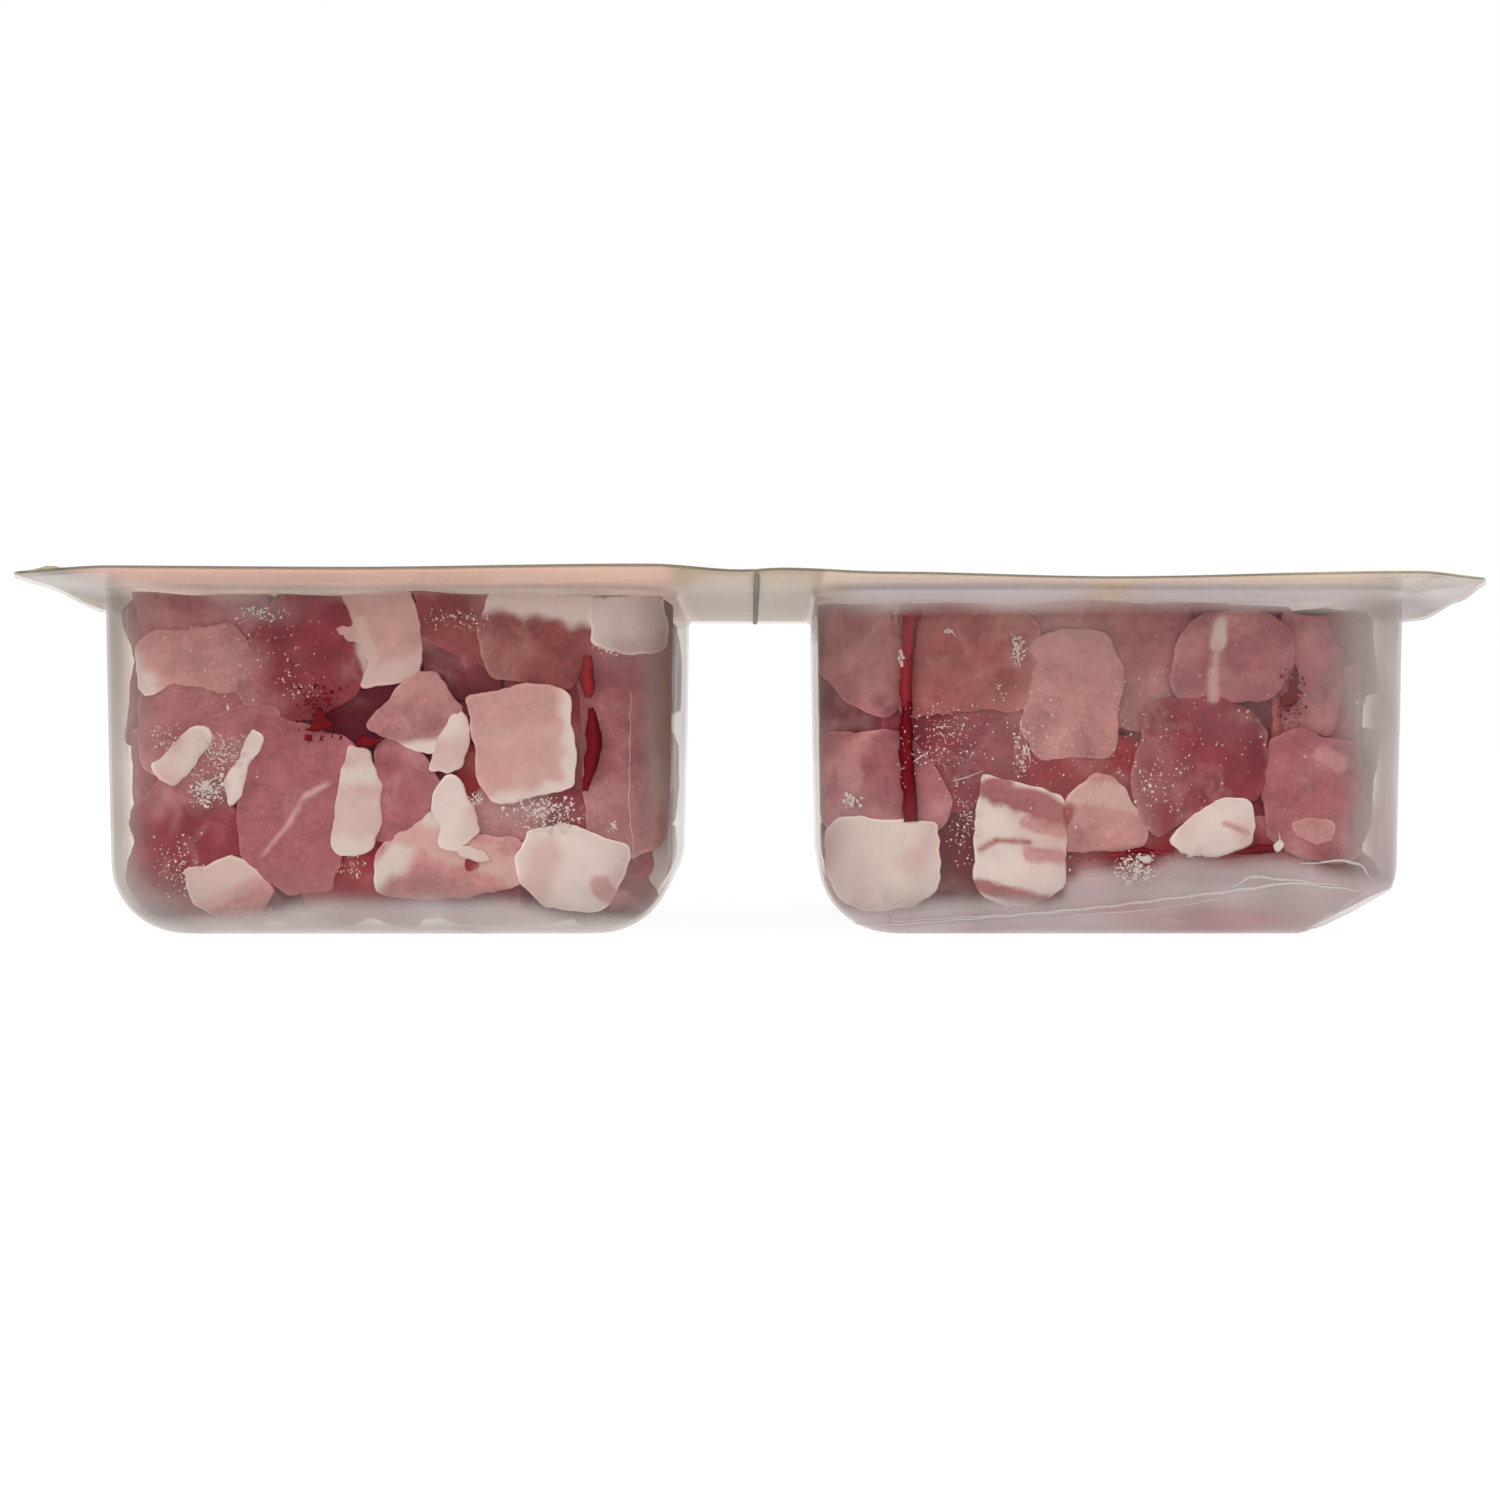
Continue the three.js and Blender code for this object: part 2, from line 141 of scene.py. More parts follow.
def lay(colours, tone, cover):
    """Lays a tone or an sRGB hex colour over the points' colours, by the share that it covers at each."""
    colours += (np.array(linear(TONES.get(tone, tone))[:3]) - colours) * np.clip(cover, 0, 1)[:, None]


def smooth(value, low, high):
    """From 0 at low to 1 at high, eased at both ends."""
    t = np.clip((np.asarray(value, float) - low) / (high - low), 0, 1)
    return t * t * (3 - 2 * t)


def between(value, low, high, soft):
    """1 from low to high and 0 elsewhere, eased over soft to each side of both."""
    return smooth(value, low - soft, low + soft) * smooth(-value, -high - soft, -high + soft)


def along(stations, place):
    """A smooth curve through (place, value) stations."""
    places, values = np.array(stations, float).T
    at = np.clip(place, places[0], places[-1])
    k = np.clip(np.searchsorted(places, at), 1, len(places) - 1)
    return values[k - 1] + (values[k] - values[k - 1]) * smooth(at, places[k - 1], places[k])


def field(points, grain, seed=0):
    """Smooth noise from -1 to 1 at points, with grains of that many millimetres."""
    shift = Vector((seed * 7.31, seed * 3.17, seed * 5.77))
    return np.array([noise.noise(Vector(p) / grain + shift) for p in points])


def random_source(seed):
    """The same whole-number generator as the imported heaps."""
    while True:
        seed = (seed * 16807) % 2147483647
        yield seed / 2147483647


def unit(vectors):
    """Vectors in rows, made one long."""
    return vectors / np.maximum(np.linalg.norm(vectors, axis=1), 1e-6)[:, None]


def join(parts):
    """The points and faces of many parts, each (points, faces, ...), as one list of each."""
    bases = np.cumsum([0] + [len(part[0]) for part in parts]).tolist()
    faces = [[base + k for k in face] for base, part in zip(bases, parts) for face in part[1]]
    return np.vstack([part[0] for part in parts]), faces


def ring_faces(rows, count):
    """The faces between rows of closed rings, each of count points."""
    return [(r + k, r + count + k, r + count + (k + 1) % count, r + (k + 1) % count)
            for r in range(0, (rows - 1) * count, count) for k in range(count)]


def fan(tip, base, count):
    """The faces from one point to a closed ring that starts at base."""
    return [(tip, base + k, base + (k + 1) % count) for k in range(count)]


def rail_faces(count):
    """The faces of a closed bar with four rails of count points."""
    rails = [range(r * count, (r + 1) * count) for r in range(4)]
    sides = zip(rails, rails[1:] + rails[:1])
    faces = [(a[k], a[k + 1], b[k + 1], b[k]) for a, b in sides for k in range(count - 1)]
    return faces + [[rail[0] for rail in rails], [rail[-1] for rail in rails[::-1]]]


def add_node(tree, kind, inputs=None, **settings):
    """Adds a shader node with its settings. An input is a value, an output, or a node's first output."""
    made = tree.nodes.new("ShaderNode" + kind)
    for name, value in settings.items():
        setattr(made, name, value)
    for name, value in (inputs or {}).items():
        value = value.outputs[0] if isinstance(value, bpy.types.Node) else value
        if isinstance(value, bpy.types.NodeSocket):
            tree.links.new(value, made.inputs[name])
        else:
            made.inputs[name].default_value = value
    return made


def new_material(name):
    """An empty material with its node tree and the place of each point on the object, in metres."""
    material = bpy.data.materials.new(name)
    material.use_nodes = True
    tree = material.node_tree
    tree.nodes.clear()
    return material, tree, add_node(tree, "TexCoord").outputs["Object"]


def make_piece(name, points, faces, material, slot=None, node=None):
    """A smooth mesh piece from points in millimetres. It rides on the pack."""
    mesh = bpy.data.meshes.new(name)
    mesh.from_pydata([tuple(p) for p in np.asarray(points) * MM], [], [list(f) for f in faces])
    mesh.polygons.foreach_set("use_smooth", [True] * len(mesh.polygons))
    mesh.materials.append(material)
    mesh.update()
    piece = bpy.data.objects.new(name, mesh)
    bpy.context.scene.collection.objects.link(piece)
    if slot:
        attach(piece, "root")
    if node:
        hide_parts(node)
    return piece


def set_points(piece, name, values):
    """A number or a linear colour for each point of a piece, which its material reads by name."""
    values = np.asarray(values, np.float32)
    if values.ndim == 1:
        piece.data.attributes.new(name, "FLOAT", "POINT").data.foreach_set("value", values)
    else:
        layer = piece.data.color_attributes.new(name, "FLOAT_COLOR", "POINT")
        layer.data.foreach_set("color", np.c_[values, np.ones(len(values), np.float32)].ravel())


# ---- camera, light and floor

def set_the_stage():
    """A level camera on the front of the pack, in a white studio with two softboxes and a lit table."""
    scene = bpy.context.scene
    scene.view_settings.view_transform = "Standard"
    scene.cycles.transparent_max_bounces = 32
    # Solved from the photograph: 269 mm from the pack's middle and 19.9 mm above the table.
    lens = bpy.data.cameras.new("camera")
    lens.lens, lens.sensor_width = 53.52, 36
    lens.clip_start, lens.clip_end = 0.01, 20
    camera = bpy.data.objects.new("camera", lens)
    camera.location = (0, -0.269, 0.0199)
    camera.rotation_euler = (math.pi / 2, 0, 0)
    scene.collection.objects.link(camera)
    scene.camera = camera

    scene.world = bpy.data.worlds.new("white_studio")
    scene.world.use_nodes = True
    background = scene.world.node_tree.nodes["Background"]
    background.inputs["Color"].default_value = linear("#ffffff")
    background.inputs["Strength"].default_value = 1.0

    softboxes = (("softbox_top", (0.1, -0.35, 0.9), 0.8), ("softbox_left", (-0.8, -0.7, 0.45), 0.6))
    for name, place, size in softboxes:
        lamp = bpy.data.lights.new(name, "AREA")
        lamp.shape, lamp.size, lamp.energy = "SQUARE", size, 4.0
        holder = bpy.data.objects.new(name, lamp)
        holder.location = place
        # The left lamp isn't mirrored, as its image would bleach the lid from behind.
        holder.visible_glossy = name != "softbox_left"
        holder.rotation_euler = (Vector((0, 0, 0.02)) - Vector(place)).to_track_quat("-Z", "Y").to_euler()
        scene.collection.objects.link(holder)

    # A lit acrylic table: some of its light comes through from below, so shadows on it stay faint.
    material, tree, _ = new_material("lit_acrylic_table")
    acrylic = add_node(tree, "BsdfPrincipled", {
        "Base Color": linear("#606060"), "Roughness": 0.9,
        "Emission Color": linear("#ffffff"), "Emission Strength": 0.91})
    add_node(tree, "OutputMaterial", {"Surface": acrylic})
    half, level = 4000, -0.05
    corners = [(-half, -half, level), (half, -half, level), (half, half, level), (-half, half, level)]
    make_piece("floor", corners, [(0, 1, 2, 3)], material)


# ---- materials

def clear_tray_film():
    """Clear polyester film, drawn over a mould by vacuum: thin and glossy, with a grey bloom where it was
    stretched in the corners and along folds."""
    material, tree, place = new_material("vacuum_formed_polyester")
    bloom = add_node(tree, "Attribute", attribute_name="bloom")
    tint = add_node(tree, "Attribute", attribute_name="tint")
    facing = add_node(tree, "LayerWeight", {"Blend": 0.32})
    grazing = add_node(tree, "Math", {0: facing.outputs["Facing"], 1: 2.6}, operation="POWER")
    cover = add_node(tree, "Math", {0: grazing, 1: 0.42, 2: bloom.outputs["Fac"]},
                     operation="MULTIPLY_ADD", use_clamp=True)
    # The mould leaves the film uneven by a few hundredths over a few millimetres.
    uneven = add_node(tree, "TexNoise", {"Vector": place, "Scale": 1 / (9 * MM), "Detail": 3})
    bump = add_node(tree, "Bump", {"Height": uneven, "Strength": 0.5, "Distance": 0.6 * MM})
    body = add_node(tree, "BsdfPrincipled", {
        "Base Color": tint, "Roughness": 0.25, "IOR": 1.57, "Normal": bump})
    clear = add_node(tree, "BsdfTransparent", {"Color": linear("#fbf9f7")})
    mixed = add_node(tree, "MixShader", {0: cover, 1: clear, 2: body})
    add_node(tree, "OutputMaterial", {"Surface": mixed})
    return material


def mottled(tree, place, colour, grain, least, most):
    """A colour made darker and lighter in patches of grain millimetres, from least to most of it."""
    patches = add_node(tree, "TexNoise", {"Vector": place, "Scale": 1 / (grain * MM), "Detail": 2})
    level = add_node(tree, "MapRange", {"Value": patches, "To Min": least, "To Max": most})
    return add_node(tree, "VectorMath", {0: colour, 1: level}, operation="MULTIPLY")


def printed_lid_film():
    """Printed and laminated lidding film, sealed flat: a satin cream ground, an olive edge and two pale
    panels, with flat fields of ink."""
    material, tree, place = new_material("printed_laminated_film")
    ink = add_node(tree, "Attribute", attribute_name="ink")
    # Print dots are too fine to show, so the ink's mottle is drawn at half a millimetre.
    shade = mottled(tree, place, ink, 0.5, 0.93, 1.05)
    waves = add_node(tree, "TexNoise", {"Vector": place, "Scale": 1 / (14 * MM), "Detail": 2})
    bump = add_node(tree, "Bump", {"Height": waves, "Strength": 0.5, "Distance": 1 * MM})
    body = add_node(tree, "BsdfPrincipled", {
        "Base Color": shade, "Roughness": 0.42, "IOR": 1.5, "Specular IOR Level": 0.3, "Normal": bump,
        "Subsurface Weight": 1.0, "Subsurface Radius": (1, 1, 1), "Subsurface Scale": 1.2 * MM})
    add_node(tree, "OutputMaterial", {"Surface": body})
    return material


def cured_pork_flesh():
    """Cured belly pork, cut by machine: moist lean with fine fibres, and firmer, paler fat."""
    material, tree, place = new_material("cut_cured_pork")
    flesh = add_node(tree, "Attribute", attribute_name="flesh")
    leanness = add_node(tree, "Attribute", attribute_name="leanness")
    # Muscle fibres are near 0.1 mm thick, too fine to show, so they are drawn at 0.5 mm.
    fibres = add_node(tree, "TexNoise", {
        "Vector": place, "Scale": 1 / (0.5 * MM), "Detail": 3, "Distortion": 0.6})
    cloud = add_node(tree, "TexNoise", {"Vector": place, "Scale": 1 / (2.6 * MM), "Detail": 2})
    both = add_node(tree, "Math", {0: fibres, 1: cloud}, operation="ADD")
    change = add_node(tree, "MapRange", {
        "Value": both, "From Min": 0.6, "From Max": 1.4, "To Min": -0.26, "To Max": 0.26})
    # Fat is closer in grain than lean, so it changes less.
    level = add_node(tree, "Math", {0: change, 1: leanness.outputs["Fac"], 2: 1.0}, operation="MULTIPLY_ADD")
    shade = add_node(tree, "VectorMath", {0: flesh, 1: level}, operation="MULTIPLY")
    bump = add_node(tree, "Bump", {"Height": fibres, "Strength": 0.2, "Distance": 0.2 * MM})
    body = add_node(tree, "BsdfPrincipled", {
        "Base Color": shade, "Roughness": 0.45, "IOR": 1.4, "Specular IOR Level": 0.12, "Normal": bump})
    add_node(tree, "OutputMaterial", {"Surface": body})
    return material


def wet_film(name, code, roughness, grain, cover=1.0):
    """A thin wet layer of one colour, such as juice or rendered fat, uneven at the given grain."""
    material, tree, place = new_material(name)
    shade = mottled(tree, place, linear(code)[:3], grain, 0.75, 1.25)
    body = add_node(tree, "BsdfPrincipled", {
        "Base Color": shade, "Roughness": roughness, "IOR": 1.4, "Specular IOR Level": 0.12, "Alpha": cover})
    add_node(tree, "OutputMaterial", {"Surface": body})
    return material


# ---- the tray's shapes

def lip_underside(x, y):
    """The height of the lip's underside, which waves along its edges."""
    x, y = np.asarray(x, float), np.asarray(y, float)

    def past(value, fold, end):
        return np.clip((value - fold) / (end - fold), 0, 1)

    front, back = past(-y, LIP.fold_y, HALF_DEPTH), past(y, LIP.fold_y, HALF_DEPTH)
    side = past(np.abs(x), LIP.fold_x, HALF_WIDTH)
    drop = np.where(x < 0, along(LEFT_DROP, y), along(RIGHT_DROP, y))
    return LIP.height - LIP.fall * x + front * along(FRONT_RISE, x) + back * LIP.back_rise - side * drop


def rounded_ring(half_x, half_y, radii):
    """A rectangle with four round corners, counterclockwise, with points along its sides."""
    radii = radii if isinstance(radii, tuple) else (radii,) * 4
    arcs = []
    for corner, (sx, sy) in enumerate([(1, -1), (1, 1), (-1, 1), (-1, -1)]):
        angles = (corner - 1 + np.linspace(0, 1, STEPS.corner + 1)) * math.pi / 2
        r = radii[corner]
        arcs.append(np.c_[sx * (half_x - r) + r * np.cos(angles), sy * (half_y - r) + r * np.sin(angles)])
    ring = []
    for corner, arc in enumerate(arcs):
        start, end = arc[-1], arcs[(corner + 1) % 4][0]
        share = np.linspace(0, 1, (STEPS.deep, STEPS.wide)[corner % 2] + 1)[1:-1, None]
        ring += [arc, start + (end - start) * share]
    return np.vstack(ring)


def wall_lean(z):
    """How far the walls lean in at height z."""
    return TUB.draft * (1 - z / LIP.height)


def gap_slant(tub, across, y):
    """How far points of a tub move in x, since its wall by the gap slants from back to front."""
    towards_gap = (1 - np.sign(tub.middle) * across / tub.half_width) / 2
    return (tub.inner_front - tub.inner_back) * towards_gap * (1 - y / TUB.half_depth) / 2


def tub_ring(tub, z, inset):
    """One level of a tub in plan, at height z and pulled in from its outer face by inset."""
    corner = max(TUB.corner - inset, TUB.least_corner)
    x, y = rounded_ring(tub.half_width - inset, TUB.half_depth - inset, corner).T
    lean = wall_lean(z)
    return np.c_[tub.middle + x * (1 - lean / tub.half_width) + gap_slant(tub, x, y),
                 y * (1 - lean / TUB.half_depth)]


def crushed_by(points, inset):
    """How far points lie outside the crushed edge and corner, and the ways out, for the dented tub."""
    x = points[..., 0]
    stations = [s[0] for s in CRUSHED_EDGE]
    crease_y, crease_z, foot_y, foot_z = (
        np.interp(x, stations, [s[end][axis] for s in CRUSHED_EDGE]) for end in (1, 2) for axis in (0, 1))
    dy, dz = foot_y - crease_y, foot_z - crease_z
    out_edge = np.stack([0 * x, dz, -dy], -1) / np.hypot(dy, dz)[..., None]
    from_crease = np.stack([0 * x, points[..., 1] - crease_y, points[..., 2] - crease_z], -1)
    out_corner = np.array(CRUSHED_CORNER.normal) / np.linalg.norm(CRUSHED_CORNER.normal)
    return ((from_crease * out_edge).sum(-1) + inset, out_edge,
            (points - CRUSHED_CORNER.point) @ out_corner + inset, out_corner)


def crush(points, inset):
    """Points pushed in to the crushed faces."""
    moved = np.array(points, float)
    for _ in range(2):
        edge, out_edge, _, _ = crushed_by(moved, inset)
        moved -= out_edge * np.maximum(edge, 0)[..., None]
        _, _, corner, out_corner = crushed_by(moved, inset)
        moved -= out_corner * np.maximum(corner, 0)[..., None]
    return moved


def lip_edge(tub):
    """The cut edge round one tub's half of the lip, with half of each slit of the tear line."""
    side = np.sign(tub.outer)
    ends = (side * HALF_WIDTH, TEAR.x)
    by_tear, by_side = (TEAR.corner,) * 2, (PACK_CORNER,) * 2
    radii = by_tear + by_side if side < 0 else by_side + by_tear
    edge = rounded_ring(abs(ends[0] - ends[1]) / 2, HALF_DEPTH, radii) + (sum(ends) / 2, 0)
    for k in range(TEAR.count):
        middle = (k - (TEAR.count - 1) / 2) * TEAR.pitch
        in_slit = (np.abs(edge[:, 0] - TEAR.x) < 0.2) & (np.abs(edge[:, 1] - middle) < TEAR.length / 2)
        edge[in_slit, 0] += side * TEAR.width / 2
    return edge


def wall_and_floor(tub, deep):
    """Rows of points down one tub's film, from the sealing edge to the middle of the floor, on its outer
    face or deep inside it, with the row at the crease and the columns that are creased there."""
    radius, reach = TUB.floor_radius, FILM.fold + deep
    edge, foot = lip_edge(tub), tub_ring(tub, LIP.height, -FILM.fold)
    rows = []
    for t in np.linspace(1, 0, STEPS.lip + 1)[:-1]:
        xy = foot + (edge - foot) * t
        rows.append(np.c_[xy, lip_underside(*xy.T) + deep])
    for angle in np.linspace(math.pi / 2, 0, STEPS.rim + 1):
        xy = tub_ring(tub, LIP.height, reach * math.cos(angle) - FILM.fold)
        rows.append(np.c_[xy, lip_underside(*xy.T) - FILM.fold + reach * math.sin(angle)])
    rim, count = rows[-1][:, 2], len(edge)
    fine = [rows[-1]]

    def add_level(ring, z):
        fine.append(np.c_[ring, np.broadcast_to(z, count)])

    for t in np.linspace(0, 1, STEPS.wall + 1)[1:]:
        add_level(tub_ring(tub, LIP.height * (1 - t) + radius * t, deep), rim + (radius - rim) * t)
    for angle in np.linspace(0, math.pi / 2, STEPS.floor_edge + 1)[1:]:
        z = radius - (radius - deep) * math.sin(angle)
        add_level(tub_ring(tub, z, deep + (radius - deep) * (1 - math.cos(angle))), z)
    round_end = len(fine) - 1
    for inset in np.linspace(radius, TUB.half_depth - 3, STEPS.floor + 1)[1:]:
        add_level(tub_ring(tub, 0, inset), deep)
    fine = np.array(fine)
    creased = np.zeros(count, bool)
    body = np.zeros((STEPS.above + STEPS.below, count, 3))
    for column in range(count):
        path = fine[:, column]
        split = float(round_end)
        if tub.crushed:
            edge_out, _, corner_out, _ = crushed_by(path, deep)
            out = np.maximum(edge_out, corner_out)
            hit = np.nonzero(out > 1e-4)[0]
            if len(hit) and 0 < hit[0] <= round_end:
                k = hit[0]
                split = k - 1 + out[k - 1] / (out[k - 1] - out[k])
                creased[column] = out.max() > 0.15  # A shallower dent leaves no crease.
        down = np.linspace(0, 1, STEPS.below + 1)[1:] ** 1.4  # Closer together near the edge.
        steps = np.r_[np.linspace(0, split, STEPS.above + 1)[1:], split + (len(fine) - 1 - split) * down]
        at = np.stack([np.interp(steps, np.arange(len(fine)), path[:, axis]) for axis in range(3)], -1)
        if tub.crushed:
            at[STEPS.above:] = crush(at[STEPS.above:], deep)
        body[:, column] = at
    return np.array(rows + list(body)), len(rows) + STEPS.above - 1, creased


def film_surface(tub):
    """One tub and its half of the lip as a closed skin, with the points along its crease."""
    outside, crease_row, creased = wall_and_floor(tub, 0)
    inside = wall_and_floor(tub, FILM.wall)[0]
    rows, count = outside.shape[:2]
    inner = rows * count
    points = np.vstack([outside.reshape(-1, 3), inside.reshape(-1, 3)])
    skin = ring_faces(rows, count)
    faces = skin + [tuple(inner + k for k in face[::-1]) for face in skin]
    faces += [(k, (k + 1) % count, inner + (k + 1) % count, inner + k) for k in range(count)]
    for base, turn in ((inner - count, -1), (2 * inner - count, 1)):
        points = np.vstack([points, points[base:base + count].mean(0)])
        faces += [face[::turn] for face in fan(len(points) - 1, base, count)]
    crease = crease_row * count + np.nonzero(creased)[0]
    return points, faces, [*crease, *(inner + crease)]


# Haze on the film's front, from dried juice, fat or the draw: x, z, half width, half height, share and tint.
# The pale pink ones at z 35 to 37.5, along the top, are a painted reflection of the meat under the lip.
HAZE = [
    (-61, 29, 6, 6, 0.06, "#d2b4ac"), (-51, 34.6, 4, 1.2, 0.12, "#cdc6c4"),
    (-23, 13.4, 5, 1.4, 0.08, "#d6cac6"), (-57, 16, 3, 2.4, 0.05, "#d6cac6"),
    (-13, 31, 3, 2, 0.08, "#cfc4bf"), (-68.8, 30, 3.4, 14, 0.42, "#a0948b"),
    (-69, 10, 3.4, 12, 0.3, "#aba097"), (-13, 6, 4, 4, 0.08, "#cbbab6"), (34, 33.4, 14, 1.5, 0.07, "#c5a79d"),
    (14, 8, 6, 5, 0.04, "#cdbdbb"), (41, 7.4, 2.6, 1.6, -0.3, "#d8cecb"), (8, 8, 4, 7, 0.14, "#c6b7b3"),
    (67.5, 31, 5, 8, 0.55, "#b9aea7"), (69, 18, 3.6, 9, 0.6, "#b6aaa5"), (50, 7, 6, 1.6, 0, "#b3a1a1"),
    (16.6, 22, 1.2, 10, -0.03, "#b8989a"), (38, 36.2, 2.4, 1, 0, "#e6cdb8"),
    (11, 31, 3.5, 4, 0.08, "#b3a598"), (68, 8, 3.5, 5, 0.4, "#a8979a"), (-69, 1, 9, 4, 0.3, "#bdb4b0"),
    (50, 1.6, 9, 2, 0.2, "#b28c8d"), (40, 3, 4, 1, 0.2, "#b99696"), (24, 1, 8, 1, 0.1, "#b9a0a2"),
    (64, 4, 4, 2.4, 0.1, "#c6b2b2"), (66.8, 23.5, 2, 4, 0.4, "#a8958f"), (66.5, 11, 2.2, 4, 0.4, "#ab9290"),
    (34.5, 28, 4.5, 5, 0.09, "#c4a8a2"), (41, 27, 3, 6, 0.07, "#b39a90"), (-9.3, 24, 1.4, 9, 0.46, "#ae9084"),
    (-39, 37.5, 26, 0.5, 0.3, "#f6dccf"), (36, 7, 3, 2, 0.08, "#c9b3b0"), (-22, 35, 5, 0.8, 0.12, "#e8d0c6"),
]


def film_bloom(points):
    """Share of light that the film scatters, and its tint there: more where it was drawn furthest, on folds
    and in the dented tub, with a painted reflection of the meat tinting the seal."""
    x, y, z = points.T
    left = x < TEAR.x
    patchy, cloud_edge = field(points, 6, 3), 0.8 * field(points, 7, 12)
    bloom = np.where(left, BLOOM.least, BLOOM.right + BLOOM.patches * smooth(field(points, 12, 17), 0, 0.45))
    bloom += BLOOM.floor * smooth(-z, -9, -1) + BLOOM.corners * smooth(y, 27, 33) * smooth(np.abs(x), 58, 66)
    tint = plain(points, "#d2cbc7")
    for tub, here in ((LEFT_TUB, left), (RIGHT_TUB, ~left)):
        cloud_top = np.interp(x, *zip(*tub.cloud)) + cloud_edge
        cloud = here * smooth(cloud_top - z, -0.6, 1.6) * smooth(-y, 8, 26)
        band = here * smooth(z + 0.4 * patchy - tub.band_from, -0.5, 0.8) * smooth(-z, -36.9, -36.6)
        lay(tint, tub.cloud_tint, cloud)
        # The seal's pink tint is a painted reflection of the meat below it.
        lay(tint, tub.band_tint, band)
        bloom += tub.cloud_bloom * cloud + BLOOM.band * band
    in_front = smooth(-y, 16, 25)
    for px, pz, wide, high, share, code in HAZE:
        here = in_front * np.exp(-((x - px) / wide) ** 2 - ((z - pz) / high) ** 2)
        bloom += share * here
        lay(tint, code, 1.3 * here)
    return np.clip(bloom * (1 + BLOOM.uneven * patchy), BLOOM.least, BLOOM.most), tint


def tray_film():
    """Both tubs and their sealing lip, as film with a real thickness and walls that wave a little."""
    parts = [film_surface(tub) for tub in (LEFT_TUB, RIGHT_TUB)]
    points, faces = join(parts)
    x, y, z = points.T
    wave = WAVE.height * (1 + field(points, WAVE.grain, 5)) * smooth(z, 0.5, 4) * smooth(-z, -36.5, -34)
    points = points + unit(np.c_[x - np.where(x < TEAR.x, *WAVE.middles), y, 0 * z]) * wave[:, None]
    piece = make_piece("tray_film", points, faces, clear_tray_film(), "clear_film", "tray")
    creases = set(parts[0][2]) | {len(parts[0][0]) + k for k in parts[1][2]}
    for edge in piece.data.edges:
        edge.use_edge_sharp = creases.issuperset(edge.vertices)
    bloom, tint = film_bloom(points)
    set_points(piece, "bloom", bloom)
    set_points(piece, "tint", tint)


# ---- the printed lid

INKS = {"ground": "#cbb9a5", "olive": "#4f4f42", "panel": "#d6d0d6", "yolk": "#8f8a68", "spot": "#8a4a3a",
        "slit": "#8b8074", "back": "#a59479"}
# Pale panels on the lid: x from and to at the front, how far the ends slant, then y from and to.
PANELS = [(11.3, 36.3, 0, -35, 0), (40.8, 69.7, 1.6, -35, 0)]
# The lid's pale back, as the clear lip and the tubs show it from below: x from and to, y from and to, colour.
# The first three, over the tubs, are painted pink and light: a painted reflection of the meat, and painted
# light where the underside lies in shade.
BACKS = [
    (-69, -8, -43, 35, "#e2b7a6"), (-69, -8, -33, 35, "#eec9ba"), (7.5, 69.5, -43, 35, "#e0c9ba"),
    (11.3, 36.3, -34, 0, "#e0d4da"), (40.8, 69.7, -34, 0, "#e0d4da"), (-75, -70, -43, 43, "#9a9b98"),
    (70.6, 75, -43, 43, "#bfbcb5"), (-75, 75, -43.1, -42.6, "#4f4f42"),
]


def lid_ink(points):
    """The print on the lid's top, with the blister worn to the film under it."""
    x, y, _ = points.T
    colours = plain(points, INKS["ground"])
    for start, end, slant, front, back in PANELS:
        shift = slant * (y - front) / (back - front)
        across = between(x, start + shift, end - shift, 0.3)
        lay(colours, INKS["panel"], across * between(y, front, back, 0.3))
    # The print ends in an olive edge along the front, which turns yellow on the right.
    edge = smooth(-y, 41.4, 41.8)
    lay(colours, INKS["olive"], edge)
    lay(colours, INKS["yolk"], edge * smooth(x, 52, 58))
    away = np.hypot(x - BLISTER.x, y - BLISTER.y)
    lay(colours, INKS["yolk"], smooth(-away, -2.2, -1.7))
    lay(colours, INKS["spot"], smooth(-away, -1.6, -1.1))
    along_tear = np.abs((y / TEAR.pitch + TEAR.count / 2) % 1 - 0.5) * TEAR.pitch
    lay(colours, INKS["slit"], smooth(-np.abs(x - TEAR.x), -0.4, -0.3)
        * smooth(-along_tear, -TEAR.length / 2 - 0.3, -TEAR.length / 2))
    return colours


def lid_back(points):
    """The lid's underside, where it shows through the clear lip, and over the tubs with a painted reflection
    of the meat.
    """
    colours = plain(points, INKS["back"])
    for x0, x1, y0, y1, code in BACKS:
        lay(colours, code, between(points[:, 0], x0, x1, 0.5) * between(points[:, 1], y0, y1, 0.3))
    return colours


